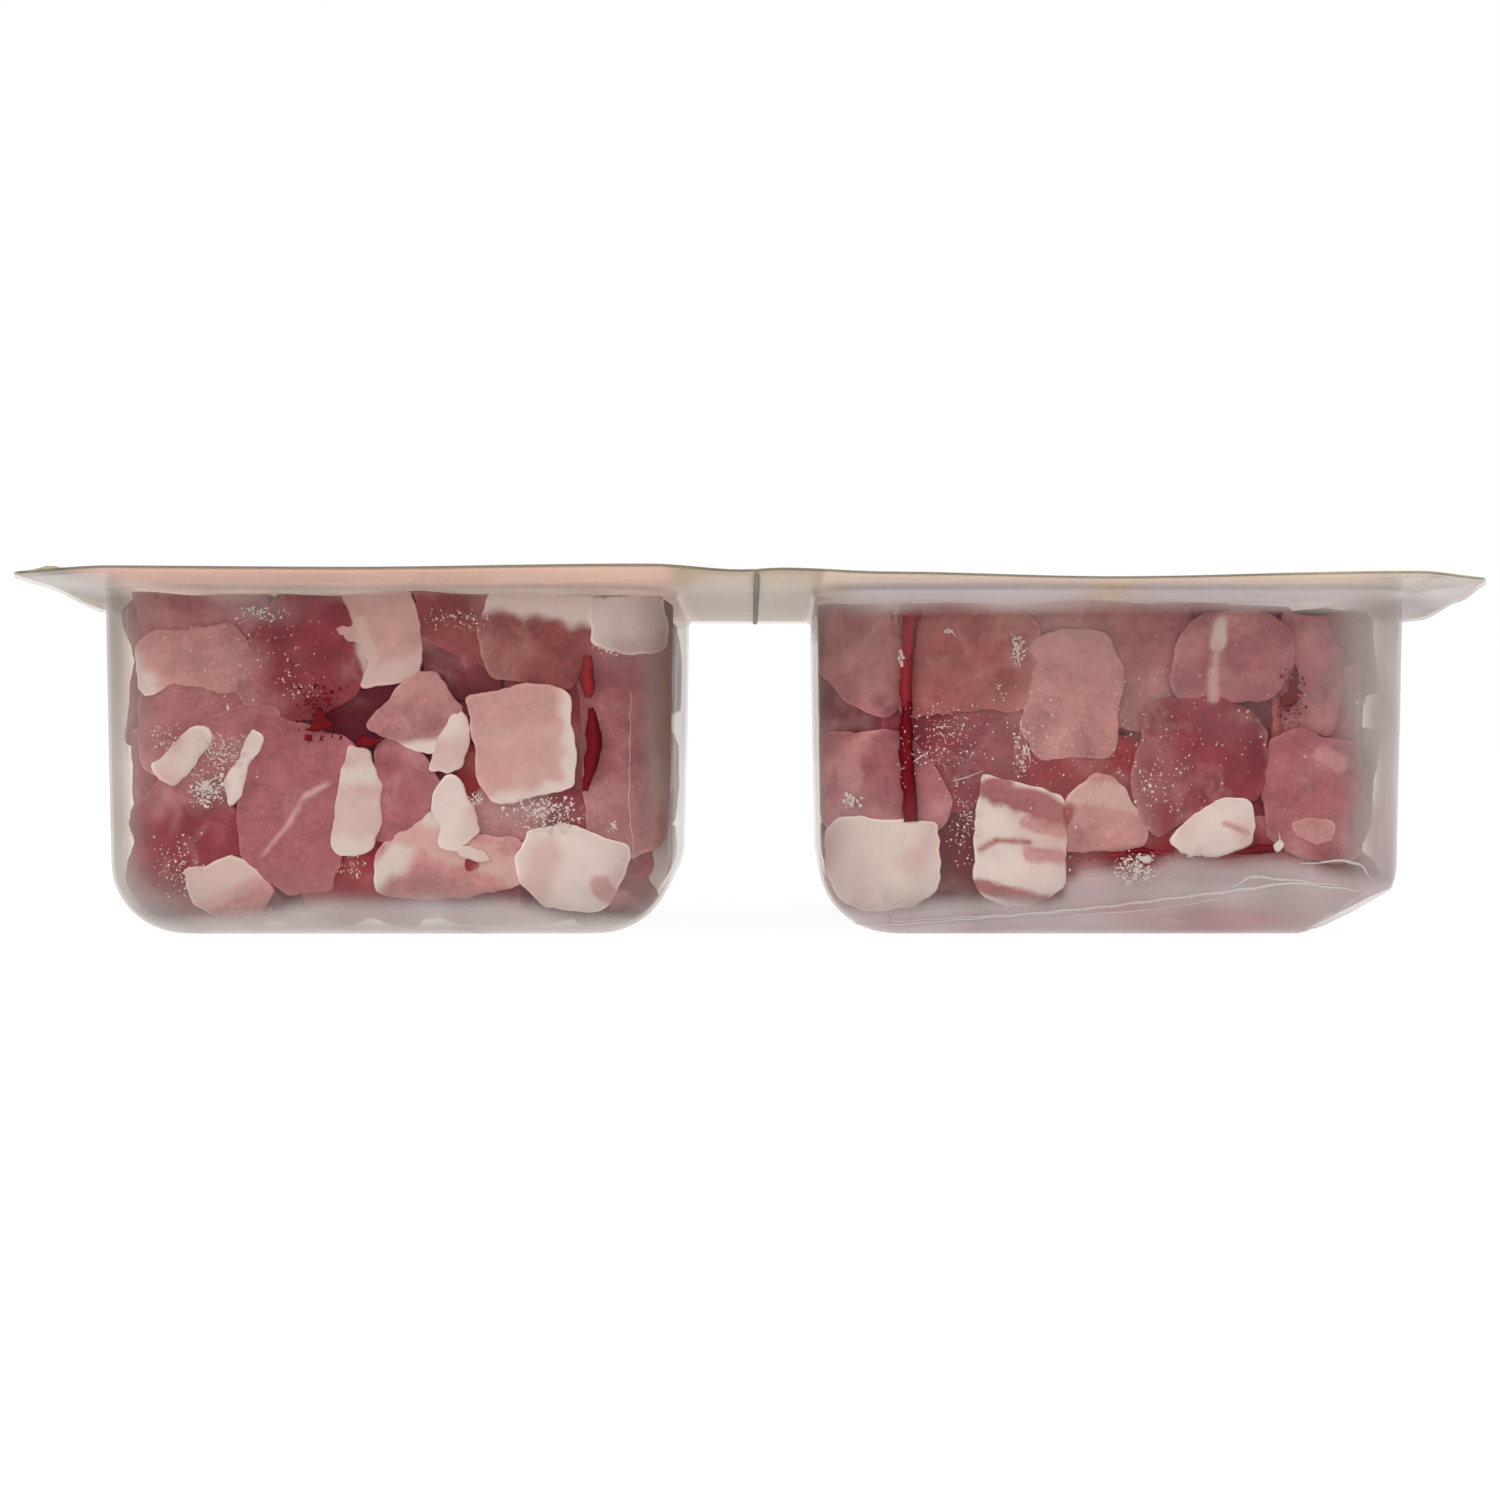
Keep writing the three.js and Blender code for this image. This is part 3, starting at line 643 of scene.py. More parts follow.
def lid_film():
    """The printed film sealed over both tubs, with its blister at the front left corner."""
    by_tear = TEAR.x + np.array([-0.42, -0.3, 0.3, 0.42])
    xs = np.sort(np.r_[np.linspace(-HALF_WIDTH, HALF_WIDTH, 180), by_tear])
    ys = np.r_[np.linspace(-HALF_DEPTH, -38, 16), np.linspace(-38, HALF_DEPTH, 70)[1:]]
    nx, ny = len(xs), len(ys)
    x, y = (g.ravel() for g in np.meshgrid(xs, ys, indexing="ij"))
    # Points near the four corners are pulled in on to the corner's arc.
    straight_x, straight_y = HALF_WIDTH - PACK_CORNER, HALF_DEPTH - PACK_CORNER
    over_x, over_y = np.maximum(np.abs(x) - straight_x, 0), np.maximum(np.abs(y) - straight_y, 0)
    pull = PACK_CORNER / np.maximum(np.hypot(over_x, over_y), PACK_CORNER)
    x = np.sign(x) * (np.minimum(np.abs(x), straight_x) + over_x * pull)
    y = np.sign(y) * (np.minimum(np.abs(y), straight_y) + over_y * pull)
    # Over the tubs, away from the seal, the film sags on to the meat by up to half a millimetre.
    over_tubs = smooth(-np.abs(np.abs(x) - 39), -31, -20) * smooth(-np.abs(y), -35, -22)
    sag = 0.25 * over_tubs * (1 + field(np.c_[x, y, y * 0], 17, 8))
    under = lip_underside(x, y) + FILM.wall + FILM.seal - sag
    blister = BLISTER.height * (1 - smooth(np.hypot(x - BLISTER.x, y - BLISTER.y), 0, BLISTER.radius))
    low, high = np.c_[x, y, under], np.c_[x, y, under + FILM.lid + blister]
    faces = []
    for i in range(nx - 1):
        for j in range(ny - 1):
            a, b = i * ny + j, (i + 1) * ny + j
            faces += [(a, b, b + 1, a + 1), tuple(k + nx * ny for k in (a, a + 1, b + 1, b))]
    number = np.arange(nx * ny).reshape(nx, ny)
    border = np.r_[number[:, 0], number[-1, 1:], number[-2::-1, -1], number[0, -2:0:-1]].tolist()
    faces += [(m, n, n + nx * ny, m + nx * ny) for n, m in zip(border, border[1:] + border[:1])]
    piece = make_piece("lid_print", np.vstack([high, low]), faces, printed_lid_film(), "printed_film",
                       "lid_film")
    set_points(piece, "ink", np.vstack([lid_ink(high), lid_back(low)]))


# ---- the diced meat

def die(tone, *outline, back=0, grow=None, fat=(), bulge=0.5):
    """A die behind the front wall, by its outline's corners (x, z), clockwise from the top left. Its face
    stands back from the film. Fat lies in bands (angle, from, to, tone) across it, where the die reaches
    from -1 to 1 and angle 0 points right and 90 up."""
    return Sizes(tone=tone, outline=outline, back=back, fat=fat, bulge=bulge,
                 grow=0.2 + back if grow is None else grow)


LEFT_FRONT = [
    die("lean", (-64.2, 36), (-53, 36), (-52, 33), (-55, 32), (-58, 31.2), (-62.4, 31.4), back=1.6),
    die("pink", (-64.6, 30.5), (-62, 31.8), (-57, 32), (-55, 32.6), (-53.6, 31), (-53.2, 28.5), (-55, 26.5),
        (-57.5, 27.4), (-61, 27.8), (-63.8, 26.4), back=0.7, fat=[(205, 0.8, 2)]),
    die("lean", (-63.6, 25), (-60, 27), (-57, 27.6), (-53, 26), (-50.5, 24.4), (-54, 22), (-58, 21),
        (-60.5, 19), (-63.4, 18.6), back=1.3),
    die("cream", (-59.2, 22.4), (-57.2, 22.3), (-56.7, 21.2), (-59.2, 17.4), (-61, 16.2), (-62.2, 16.8),
        (-63.3, 18.3), (-61.4, 19.4), bulge=0.8),
    die("haze", (-57.4, 22.6), (-53, 23.9), (-50.2, 24), (-51.4, 20.5), (-54, 16), (-58.5, 15.2),
        (-60.5, 16.2), (-58, 19.6), back=0.7, fat=[(70, -0.15, 0.3, "mauve")]),
    die("white", (-52.4, 22.4), (-51.4, 21.7), (-51.2, 20.8), (-53.1, 18), (-53.7, 14.8), (-54.9, 14),
        (-55.5, 16.8), (-53.7, 18.8), back=0.2, grow=0.1, bulge=0.8),
    die("dark", (-65, 13), (-61.8, 16), (-58.5, 16.3), (-55.5, 13.4), (-53.8, 10.5), (-54.2, 8.6), (-57, 7),
        (-59, 7), (-61, 5.4), (-64, 7), back=0.9),
    die("blush", (-59.6, 7.2), (-57.6, 7.4), (-54.8, 8.7), (-52.4, 7.2), (-50.4, 5), (-52.6, 2.4), (-56, 2),
        (-58.8, 3.6), back=0.1, fat=[(120, -0.05, 2, "pale"), (-60, 0.35, 2, "pink")]),
    die("dark", (-53, 30), (-50.5, 33.4), (-48.2, 35.6), (-44.4, 35.8), (-42.2, 32), (-41, 29), (-42.6, 26),
        (-46, 24), (-51, 23.4), (-53.2, 26), back=0.8),
    die("blush", (-44.2, 35.6), (-41, 36.2), (-36, 35.6), (-35, 33), (-35, 27.6), (-38, 26.9), (-41, 26.7),
        (-42.2, 29.8), (-43.6, 32.8), back=0.9, grow=0.3, fat=[(-70, 0.6, 2, "pale"), (175, 0.8, 2, "pink")]),
    die("lean", (-52, 23.8), (-47, 22.6), (-42.4, 21), (-40.4, 19.4), (-42.6, 14), (-43.4, 8), (-44.4, 5),
        (-49, 4.8), (-53, 7.6), (-54.2, 11), (-53.8, 16), back=0.5, grow=0.2, fat=[(-70, 0.15, 2, "lean")]),
    die("pale", (-42.2, 20.4), (-40.2, 19.6), (-39.1, 16.8), (-39, 12), (-40, 9.5), (-42, 8.7), (-43.6, 9),
        (-44, 10.6), (-43.5, 14), (-42.8, 17.4), bulge=0.8,
        fat=[(95, 0.3, 0.7, "cream"), (-95, 0.6, 2, "cream")]),
    die("lean", (-38.6, 20.5), (-36.5, 20), (-34.5, 18.2), (-33.2, 16), (-34.6, 13.2), (-38, 11), (-39.6, 11),
        (-39.4, 17), back=0.6),
    die("mauve", (-40.6, 22.3), (-38.5, 25), (-36.5, 27.1), (-34.8, 28.3), (-33, 28), (-31.8, 26),
        (-30.2, 24.4), (-31.4, 21.8), (-33.4, 19.4), (-36, 20.2), (-38.2, 21), back=0.1, grow=0.1,
        fat=[(-80, 0.62, 2)]),
    die("white", (-31, 24.8), (-30, 23.6), (-29.5, 22), (-29.9, 20), (-30.6, 18), (-32, 17.5), (-33.9, 17.6),
        (-33.5, 19.5), (-32.6, 21.8), (-31.7, 23.7), bulge=0.9, grow=0.1),
    die("white", (-32, 17.4), (-31, 17.1), (-30.2, 15.4), (-29, 13.8), (-28.4, 11.4), (-29.6, 10.2),
        (-31.2, 9.3), (-32.8, 9.7), (-32.6, 11.8), (-33.7, 13.6), (-33.2, 16), back=-0.1, grow=0.05,
        bulge=0.5),
    die("cream", (-31.4, 9.6), (-29.6, 9.9), (-28, 9.3), (-27.2, 8.3), (-28.2, 7.9), (-29.6, 8.3), back=0,
        grow=0),
    die("red", (-30, 8.4), (-28.4, 8.2), (-28.6, 7.4), (-30, 7.3), back=0.2, grow=0),
    die("blush", (-29.9, 25.4), (-27, 26.2), (-23.5, 26.9), (-19.8, 26.4), (-19.1, 25.5), (-18.5, 20),
        (-18.4, 16.2), (-21, 15.3), (-26, 14.2), (-27, 14.4), (-28.8, 17), (-29, 20), (-29.4, 23), grow=0.1,
        fat=[(2, 0.72, 2), (-78, 0.78, 2)]),
    die("umber", (-35.4, 35.6), (-28, 35.6), (-27, 31), (-27.4, 29), (-31, 30.2), (-34.6, 32.4), back=1.3,
        grow=0.5),
    die("purple", (-34.8, 32.6), (-31, 30.6), (-27, 29.2), (-27, 26.2), (-31, 25.4), (-34, 28), back=1.6,
        grow=0.6),
    # A deep die in the darkest tone: painted shade in the recess between its neighbours.
    die("pocket", (-50, 22.7), (-45, 24.2), (-42.4, 26.2), (-37, 27.4), (-38, 24.5), (-40.2, 22.4),
        (-38.8, 20.2), (-42.5, 21), (-46.4, 21.5), back=1.9, grow=0.7),
    die("umber", (-28.6, 33), (-27.4, 35.4), (-23, 36.4), (-17.2, 36.2), (-16.8, 33), (-17.2, 29),
        (-18.8, 26.4), (-23, 27), (-27, 27.6), (-28.4, 29.6), back=1, grow=0.2, fat=[(80, 0.26, 2, "white")]),
    die("white", (-16.6, 35.8), (-10.2, 35.9), (-9.2, 33), (-9.6, 31), (-13, 30.4), (-16.4, 31.4), back=0.9,
        grow=0.5),
    die("haze", (-17.2, 31.4), (-10, 31), (-9.4, 24), (-9.8, 16), (-10.6, 10.6), (-13.5, 9.6), (-15.8, 11.6),
        (-16.2, 18), (-16.6, 26), back=1.4, fat=[(270, 0.4, 2, "mauve"), (0, 0.6, 2, "umber")]),
    die("dark", (-28.4, 14.8), (-25, 14), (-19, 15.4), (-16, 15.8), (-13, 13), (-13.4, 9.6), (-18, 9.6),
        (-22, 11), (-25, 11), (-28, 11), back=1.7, fat=[(180, 0.1, 2, "mauve")]),
    die("pink", (-39.5, 5), (-39, 9), (-37, 11.6), (-34, 13.3), (-31.6, 11), (-28.5, 10.6), (-24.6, 10.2),
        (-24.2, 6), (-27, 5.2), (-32, 4.6), (-36, 4.4), back=0.7, grow=0.4,
        fat=[(150, 0.42, 0.85, "cream"), (60, 0, 0.6, "blush")]),
    die("white", (-24.6, 8.5), (-23.5, 11.4), (-19.5, 12.2), (-16, 10.9), (-13, 9.9), (-12.6, 9),
        (-13.4, 6.6), (-14.8, 3.4), (-16.4, 2.6), (-20, 3), (-22.4, 3.8), (-24.3, 6), grow=0.1, bulge=0.7),
    die("red", (-46.5, 7), (-43, 6.4), (-40, 9.4), (-38.6, 9), (-39, 5), (-42, 4), (-46, 4.2), back=1.5),
    die("dark", (-19.8, 27), (-15.4, 27.4), (-15.4, 15.6), (-19.6, 15.2), back=1.7, grow=0.2),
    die("red", (-30, 20), (-28.5, 19), (-28, 14), (-29.4, 12), (-30.6, 15), back=1.8, grow=0.8),
]
RIGHT_FRONT = [
    die("haze", (7.8, 35.6), (15.8, 35.7), (16, 27), (14.6, 24), (11, 25.6), (8.4, 28.6), back=0.8),
    die("purple", (8, 27), (11, 26), (14.8, 24), (16, 19.6), (9, 19.8), (7.8, 22), back=2),
    die("lean", (8.2, 20.6), (16, 21), (20.4, 15), (19.8, 12), (9, 12), (7.8, 15), back=0.9,
        fat=[(140, 0.62, 0.8, "pink")]),
    die("cream", (8.2, 11.4), (9.6, 12.6), (16, 12.5), (19.7, 12.3), (20, 10), (19.8, 5), (17, 3.4),
        (12, 2.6), (9.6, 4), (8.2, 7), grow=0.1),
    die("brown", (15.6, 35), (26, 35.3), (29.6, 33), (30, 30), (28.6, 27), (28.8, 25), (22, 25), (16.4, 24),
        (15.8, 28), back=0.8),
    die("dark", (16, 25), (22, 25.4), (28.6, 25), (30, 21), (29.6, 16.6), (25, 16.4), (22, 15), (16.6, 14.4),
        (16, 20), back=1.7),
    die("pink", (30, 31), (33, 31.7), (37, 31.5), (38.5, 28), (38, 24), (37.6, 20), (31, 19.8), (29.5, 22),
        (30.3, 26), back=0.8),
    die("red", (29.6, 20.6), (37.6, 20.4), (41.6, 19), (40.4, 15), (36, 16), (33, 14.4), (30, 15.6),
        back=1.4),
    die("mauve", (30, 35.4), (37, 35.6), (38, 32), (37, 30.6), (33, 31), (30, 30), back=2.2),
    die("haze", (37.4, 35), (44.6, 35), (45, 30), (43.6, 26), (41, 23.6), (38.8, 25), (37.8, 30), back=1.9),
    die("white", (24.6, 17.3), (28.5, 16.4), (31.5, 15.5), (33.2, 14.6), (33.4, 8), (33.2, 6), (31.7, 4.2),
        (29, 3.2), (24.5, 4.4), (23.5, 7), (24, 12), (24.2, 15.8), grow=0.1, bulge=0.6),
    die("pink", (36.6, 17), (38, 16.6), (39.9, 14), (41.5, 11), (41, 10), (33.4, 9.8), (33.2, 13.6),
        (35, 15.4), back=0.5, fat=[(80, 0.3, 0.9, "blush")]),
    die("purple", (19.6, 13.5), (23, 16.4), (24.6, 12), (24, 5), (19.4, 4.6), back=2.3),
    die("lean", (44.8, 30), (45.4, 32.2), (47.5, 34.1), (51, 34.7), (55, 34.2), (57, 32.8), (57.5, 30),
        (57, 28), (55, 25.2), (50, 24.8), (45.4, 25), (44.4, 27), back=0.5, bulge=0.8, grow=0.1),
    die("lean", (56.5, 34.2), (60.6, 33.4), (62.2, 30), (62.2, 26), (61.2, 22), (57, 22), (56.8, 28),
        back=1.6, grow=0.6),
    die("dark", (42.2, 24.4), (45, 25.2), (50, 25.4), (52.6, 24), (54.4, 22), (54.1, 16.5), (53.4, 14.8),
        (50, 14), (46, 12.6), (43, 10.8), (41.6, 12), (40.4, 16), (41, 20), back=0.4, grow=0.2),
    die("lean", (55, 21), (58, 22), (61, 21), (63.8, 20.4), (65.2, 17), (65.2, 13), (64.6, 9), (62, 8),
        (58, 8.8), (54.8, 11), (54.3, 17), back=0.9, grow=0.3),
    die("white", (44.4, 10.4), (46.5, 12.7), (50, 14.8), (52.6, 14.7), (53.1, 12), (52.9, 10), (50, 8.8),
        (46, 8.8), bulge=0.9),
    die("pink", (57, 12.2), (59.5, 12.9), (61.6, 12.2), (61.5, 10.5), (60, 9.9), (57.6, 11), back=0.5,
        grow=0.1),
    die("red", (33, 10.4), (39, 10.6), (46, 10), (56.5, 11.4), (57, 8), (48, 7.2), (40, 6.8), (33, 6.8),
        back=1.6),
]
# Streaks in the faces of the front dice: from (x, z) to (x, z), width and tone.
STREAKS = [
    (-51.4, 8.8, -48.6, 12.2, 0.2, "blush"), (-48.6, 12.2, -47, 15, 0.25, "blush"),
    (-47, 15, -44.6, 16.3, 0.35, "blush"), (32.8, 13.2, 25.6, 15.8, 2.6, "red"),
    (29, 12.2, 32.8, 11.4, 1.2, "pink"), (24, 5.6, 31, 3.8, 1.3, "red"), (24.2, 9.4, 26, 10.4, 0.35, "brown"),
    (26, 10.4, 29.4, 10.2, 0.35, "brown"), (29.5, 9, 32.6, 8.6, 1.2, "pink"),
    (49.6, 33.2, 49.3, 31, 1.3, "cream"), (49.3, 31, 48.9, 28, 0.6, "blush"),
    (48.9, 28, 48.8, 25.4, 0.9, "blush"), (-16, 5.6, -14, 4, 2, "pink"), (-41, 33, -40, 28.6, 1.6, "pale"),
    (50, 12.2, 52.4, 11.2, 0.4, "pink"), (-56, 2.6, -51, 4, 1.6, "pink"),
    (10.6, 18.4, 10.9, 16.4, 2.2, "pink"), (60.6, 19.4, 62, 18.6, 1.8, "pink"),
]
BLOCKS = {}


def block_grid(steps):
    """Points from -1 to 1 on the six sides of a block, and its faces."""
    if steps in BLOCKS:
        return BLOCKS[steps]
    index, faces = {}, []
    for axis in range(3):
        u, v = (axis + 1) % 3, (axis + 2) % 3
        for side in (0, steps[axis]):
            for i, j in np.ndindex(steps[u], steps[v]):
                quad = []
                for di, dj in ((0, 0), (1, 0), (1, 1), (0, 1)):
                    cell = [side] * 3
                    cell[u], cell[v] = i + di, j + dj
                    quad.append(index.setdefault(tuple(cell), len(index)))
                faces.append(quad if side else quad[::-1])
    BLOCKS[steps] = (2 * np.array(list(index)) / steps - 1, faces)
    return BLOCKS[steps]


def cut_block(size, cut, seed):
    """A machine-cut die with soft edges and uneven faces, about its own middle."""
    points, faces = block_grid(cut.steps)
    half = np.array(size) / 2
    corner = min(cut.corner, *(half * 0.8))
    raw = points * half
    inner = np.clip(raw, corner - half, half - corner)
    out = raw - inner
    shaped = inner + unit(out) * np.minimum(corner, 10 * np.linalg.norm(out, axis=1))[:, None]
    swell = cut.rough * (field(shaped, 5, seed) + 0.35 * field(shaped, 1.6, seed + 50))
    bend = 0.5 * cut.rough * np.stack([field(shaped, 7, seed + 80 + k) for k in range(3)], -1)
    return shaped + unit(shaped) * swell[:, None] + bend, faces


def flesh_colours(local, half, tone, fat, seed):
    """Colours over one die: its own tone, clouded, with its bands of fat and some marbling."""
    u, v = local[:, 0] / half[0], local[:, 2] / half[2]
    cloud = field(local, 3.2, seed + 11)
    coarse, fine = (0.08, 0.05) if tone in FATTY else (0.18, 0.12)
    colours = plain(local, tone) * (1 + coarse * cloud + fine * field(local, 1.3, seed + 12))[:, None]
    if tone in FATTY:
        lay(colours, "pink", smooth(field(local, 4.5, seed + 41), -0.1, 0.5) * 0.4)
    else:
        slope = u * math.cos(seed * 2.4) + v * math.sin(seed * 2.4) + 0.8 * cloud
        lay(colours, "blush", 0.32 * smooth(slope, 0.1, 1.3))
        lay(colours, "pocket", 0.26 * smooth(-slope, 0.2, 1.4))
        vein = 1 - np.abs(field(local, 4.5, seed + 21) + 0.25 * field(local, 1.1, seed + 22)) * 5
        lay(colours, "blush", 0.2 * np.clip(vein, 0, 1) * smooth(field(local, 6, seed + 31), -0.1, 0.3))
    ragged = 0.12 * field(local, 1.8, seed + 51)
    for angle, start, end, *own in fat:
        across = u * math.cos(math.radians(angle)) + v * math.sin(math.radians(angle)) + ragged
        lay(colours, own[0] if own else "white", between(across, start, end, 0.12))
    return colours


def floor_rounding(z, inset):
    """How far the wall has turned in towards the floor at height z, seen from inset inside the film."""
    rise = TUB.floor_radius - inset
    return rise * (1 - np.sqrt(1 - np.clip((TUB.floor_radius - z) / rise, 0, 1) ** 2))


def pressed_in(points, tub, inset, straight_back=False):
    """Points held inside a tub, at least inset from its outer face, and flattened where they met it. In the
    upright corners they are drawn in to the corner's arc, or straight back to it."""
    x, y, z = np.array(points, float).T
    top = DICE_TOP + tub.dice_over + 0.35 * np.sin(x * 0.31) * np.cos(y * 0.4 + x * 0.13)
    z = np.clip(z, inset, top)
    across = np.clip(x - tub.middle, -tub.half_width, tub.half_width)
    shift = tub.middle + gap_slant(tub, across, np.clip(y, -TUB.half_depth, TUB.half_depth))
    pull = inset + floor_rounding(z, inset)
    room_x, room_y = tub.half_width - pull - wall_lean(z), TUB.half_depth - pull - wall_lean(z)
    radius = np.maximum(TUB.corner - pull, TUB.least_corner)
    x, y = np.clip(x - shift, -room_x, room_x), np.clip(y, -room_y, room_y)
    over_x, over_y = np.abs(x) - (room_x - radius), np.abs(y) - (room_y - radius)
    in_corner = (over_x > 0) & (over_y > 0)
    if straight_back:
        arc_y = room_y - radius + np.sqrt(np.maximum(radius ** 2 - np.clip(over_x, 0, radius) ** 2, 0))
        y = np.where(in_corner, np.sign(y) * np.minimum(np.abs(y), arc_y), y)
    else:
        scale = radius / np.maximum(np.hypot(over_x, over_y), radius)
        x = np.where(in_corner, np.sign(x) * (room_x - radius + over_x * scale), x)
        y = np.where(in_corner, np.sign(y) * (room_y - radius + over_y * scale), y)
    moved = np.c_[x + shift, y, z]
    return crush(moved, inset) if tub.crushed else moved


def outline_ring(outline, grow, count, seed):
    """A closed ring of points round an outline, evenly spaced, with soft corners and a little ragged."""
    corners = np.array(outline, float)
    ends = np.roll(corners, -1, axis=0)
    lengths = np.linalg.norm(ends - corners, axis=1)
    reach = np.r_[0, np.cumsum(lengths)]
    at = np.linspace(0, reach[-1], count, endpoint=False)
    side = np.clip(np.searchsorted(reach, at, side="right") - 1, 0, len(corners) - 1)
    t = ((at - reach[side]) / lengths[side])[:, None]
    ring = corners[side] * (1 - t) + ends[side] * t
    before, after = np.roll(ring, 1, axis=0), np.roll(ring, -1, axis=0)
    ring = (before + 2 * ring + after) / 4
    step = np.roll(ring, -1, axis=0) - np.roll(ring, 1, axis=0)
    outward = unit(np.c_[-step[:, 1], step[:, 0]])
    in_plan = np.c_[ring[:, 0], ring[:, 0] * 0, ring[:, 1]]
    ragged = 0.34 * field(in_plan, 2.4, seed) + 0.2 * field(in_plan, 0.9, seed + 7)
    return ring + outward * (grow + ragged)[:, None]


def lay_streaks(colours, points):
    """Draws the streaks on a front die."""
    flat = points[:, [0, 2]]
    ragged = 0.3 * field(points, 1.5, 9)
    for x0, z0, x1, z1, width, tone in STREAKS:
        start, line = np.array([x0, z0]), np.array([x1 - x0, z1 - z0])
        t = np.clip(((flat - start) @ line) / (line @ line), 0, 1)
        away = np.linalg.norm(flat - (start + t[:, None] * line), axis=1) + ragged * width
        lay(colours, tone, smooth(-away, -width / 2 - 0.35, -width / 2 + 0.15) * 0.82)


def pressed_die(row, k, tub, grain, depths):
    """One die behind the front wall: its face is nearly flat against the film, with soft edges, and its sides
    run back into the heap. Its points are about grain apart, with rings of them at the depths."""
    seed = k * 3 + tub.seed
    outline = np.array(row.outline, float)
    outline[:, 1] += tub.lift * smooth(outline[:, 1], 33, 35.6)
    around = np.linalg.norm(outline - np.roll(outline, 1, axis=0), axis=1).sum()
    count = int(np.clip(around / grain, 24, 110))
    ring = outline_ring(outline, row.grow, count, seed)
    centre = ring.mean(0)
    half = np.maximum((ring.max(0) - ring.min(0)) / 2, 0.5)
    soft = min(PRESS.edge, half.min() * 0.4)
    steps = max(6, min(18, round(half.max() / (0.9 * grain))))
    shares = 1 - np.linspace(1, 0, steps + 1)[1:-1] ** 1.35
    face_y = PRESS.inset - TUB.half_depth
    rows = []
    for share in shares:
        step = np.clip(soft - (1 - share) * np.linalg.norm(ring - centre, axis=1), 0, soft)
        y = soft - np.sqrt(soft ** 2 - step ** 2) + row.bulge * PRESS.bulge * share ** 2
        at = centre + (ring - centre) * share
        rows.append(np.c_[at[:, 0], face_y + y, at[:, 1]])
    for depth in depths:
        at = centre + (ring - centre) * (1 - 0.012 * depth)
        y = face_y + soft + row.bulge * PRESS.bulge + depth
        rows.append(np.c_[at[:, 0], np.full(count, y), at[:, 1]])
    ends = [[centre[0], y, centre[1]] for y in (face_y, face_y + soft + PRESS.deep)]
    points = np.vstack(rows + [ends])
    uneven = 0.12 * field(points, 3.2, seed + 3) + 0.06 * field(points, 1.1, seed + 4)
    points[:, 1] += uneven * min(1, 0.3 + row.back)
    # The wall leans, and rounds into the floor, so the die's face follows it.
    z = np.clip(points[:, 2], 0.6, LIP.height)
    points[:, 1] += wall_lean(z) + floor_rounding(z, PRESS.inset)
    first, back_ring = len(points) - 2, (len(rows) - 1) * count
    faces = ring_faces(len(rows), count) + fan(first, 0, count)
    faces += [face[::-1] for face in fan(first + 1, back_ring, count)]
    local = points - (centre[0], face_y + 4, centre[1])
    colours = flesh_colours(local, (half[0], 5, half[1]), row.tone, row.fat, seed)
    # The rim of each face and the die's sides are painted paler: painted light that lifts the shade in the
    # gaps between dice, as in thin meat with light coming through it.
    colours[(len(shares) - 1) * count:first] *= 1.3
    lay_streaks(colours, points)
    points = pressed_in(points, tub, PRESS.inset, True)
    points[:, 1] += PRESS.back * max(row.back, 0)
    return points, faces, colours


def filling_dice(tub, seed):
    """Dice that fill the gaps between the front ones, a little further back."""
    draws = random_source(seed)
    low, high = sorted((tub.outer, tub.inner_front))
    low, high = low + FILL.margin, high - tub.fill_margin
    for i, j in np.ndindex(FILL.across, FILL.high):
        x = low + (high - low) * (i + 0.5 + (next(draws) - 0.5) * 0.4) / FILL.across
        z = FILL.bottom + (FILL.top - FILL.bottom) * (j + 0.5 + (next(draws) - 0.5) * 0.4) / FILL.high
        reach = FILL.reach * (0.85 + 0.3 * next(draws))
        turn = next(draws) * math.pi
        angles = [turn - q * math.pi / 2 for q in range(4)]
        corners = [(x + reach * math.cos(angle), z + reach * math.sin(angle)) for angle in angles]
        tone = ("lean", "dark", "haze", "brown", "purple")[int(next(draws) * 4.99)]
        yield die(tone, *corners, back=(FILL.back + 0.8 * next(draws)) / PRESS.back, grow=0)


def lattice_dice(tub, seed):
    """The loose lattice of dice behind the front ones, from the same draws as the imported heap."""
    draws = random_source(seed)
    low_x, high_x = sorted((tub.outer, tub.inner_back))
    low = np.array((low_x, -TUB.half_depth, 0)) + LATTICE.margin
    high = np.array((high_x, TUB.half_depth, DICE_TOP)) - LATTICE.margin
    last = np.array(LATTICE.counts) - 1

    def spread():
        return (next(draws) - 0.5) * 2

    for cell in np.ndindex(LATTICE.counts):
        shares = [(cell[axis] + 0.5 + spread() * LATTICE.shift) / LATTICE.counts[axis] for axis in range(3)]
        size = [DIE_SIZE.mean + spread() * DIE_SIZE.spread for _ in range(3)]
        turns = [math.radians(spread() * LATTICE.turn) for _ in range(3)]
        i, j, k = cell
        buried = 0 < i < last[0] and j < last[1] and 0 < k < last[2]
        if j > 0 and not buried:
            yield low + (high - low) * shares, size, turns


def turned(points, turns):
    """Points turned about X, then Y, then Z."""
    x, y, z = points.T
    a, b, c = turns
    y, z = y * math.cos(a) - z * math.sin(a), y * math.sin(a) + z * math.cos(a)
    x, z = x * math.cos(b) + z * math.sin(b), -x * math.sin(b) + z * math.cos(b)
    x, y = x * math.cos(c) - y * math.sin(c), x * math.sin(c) + y * math.cos(c)
    return np.c_[x, y, z]


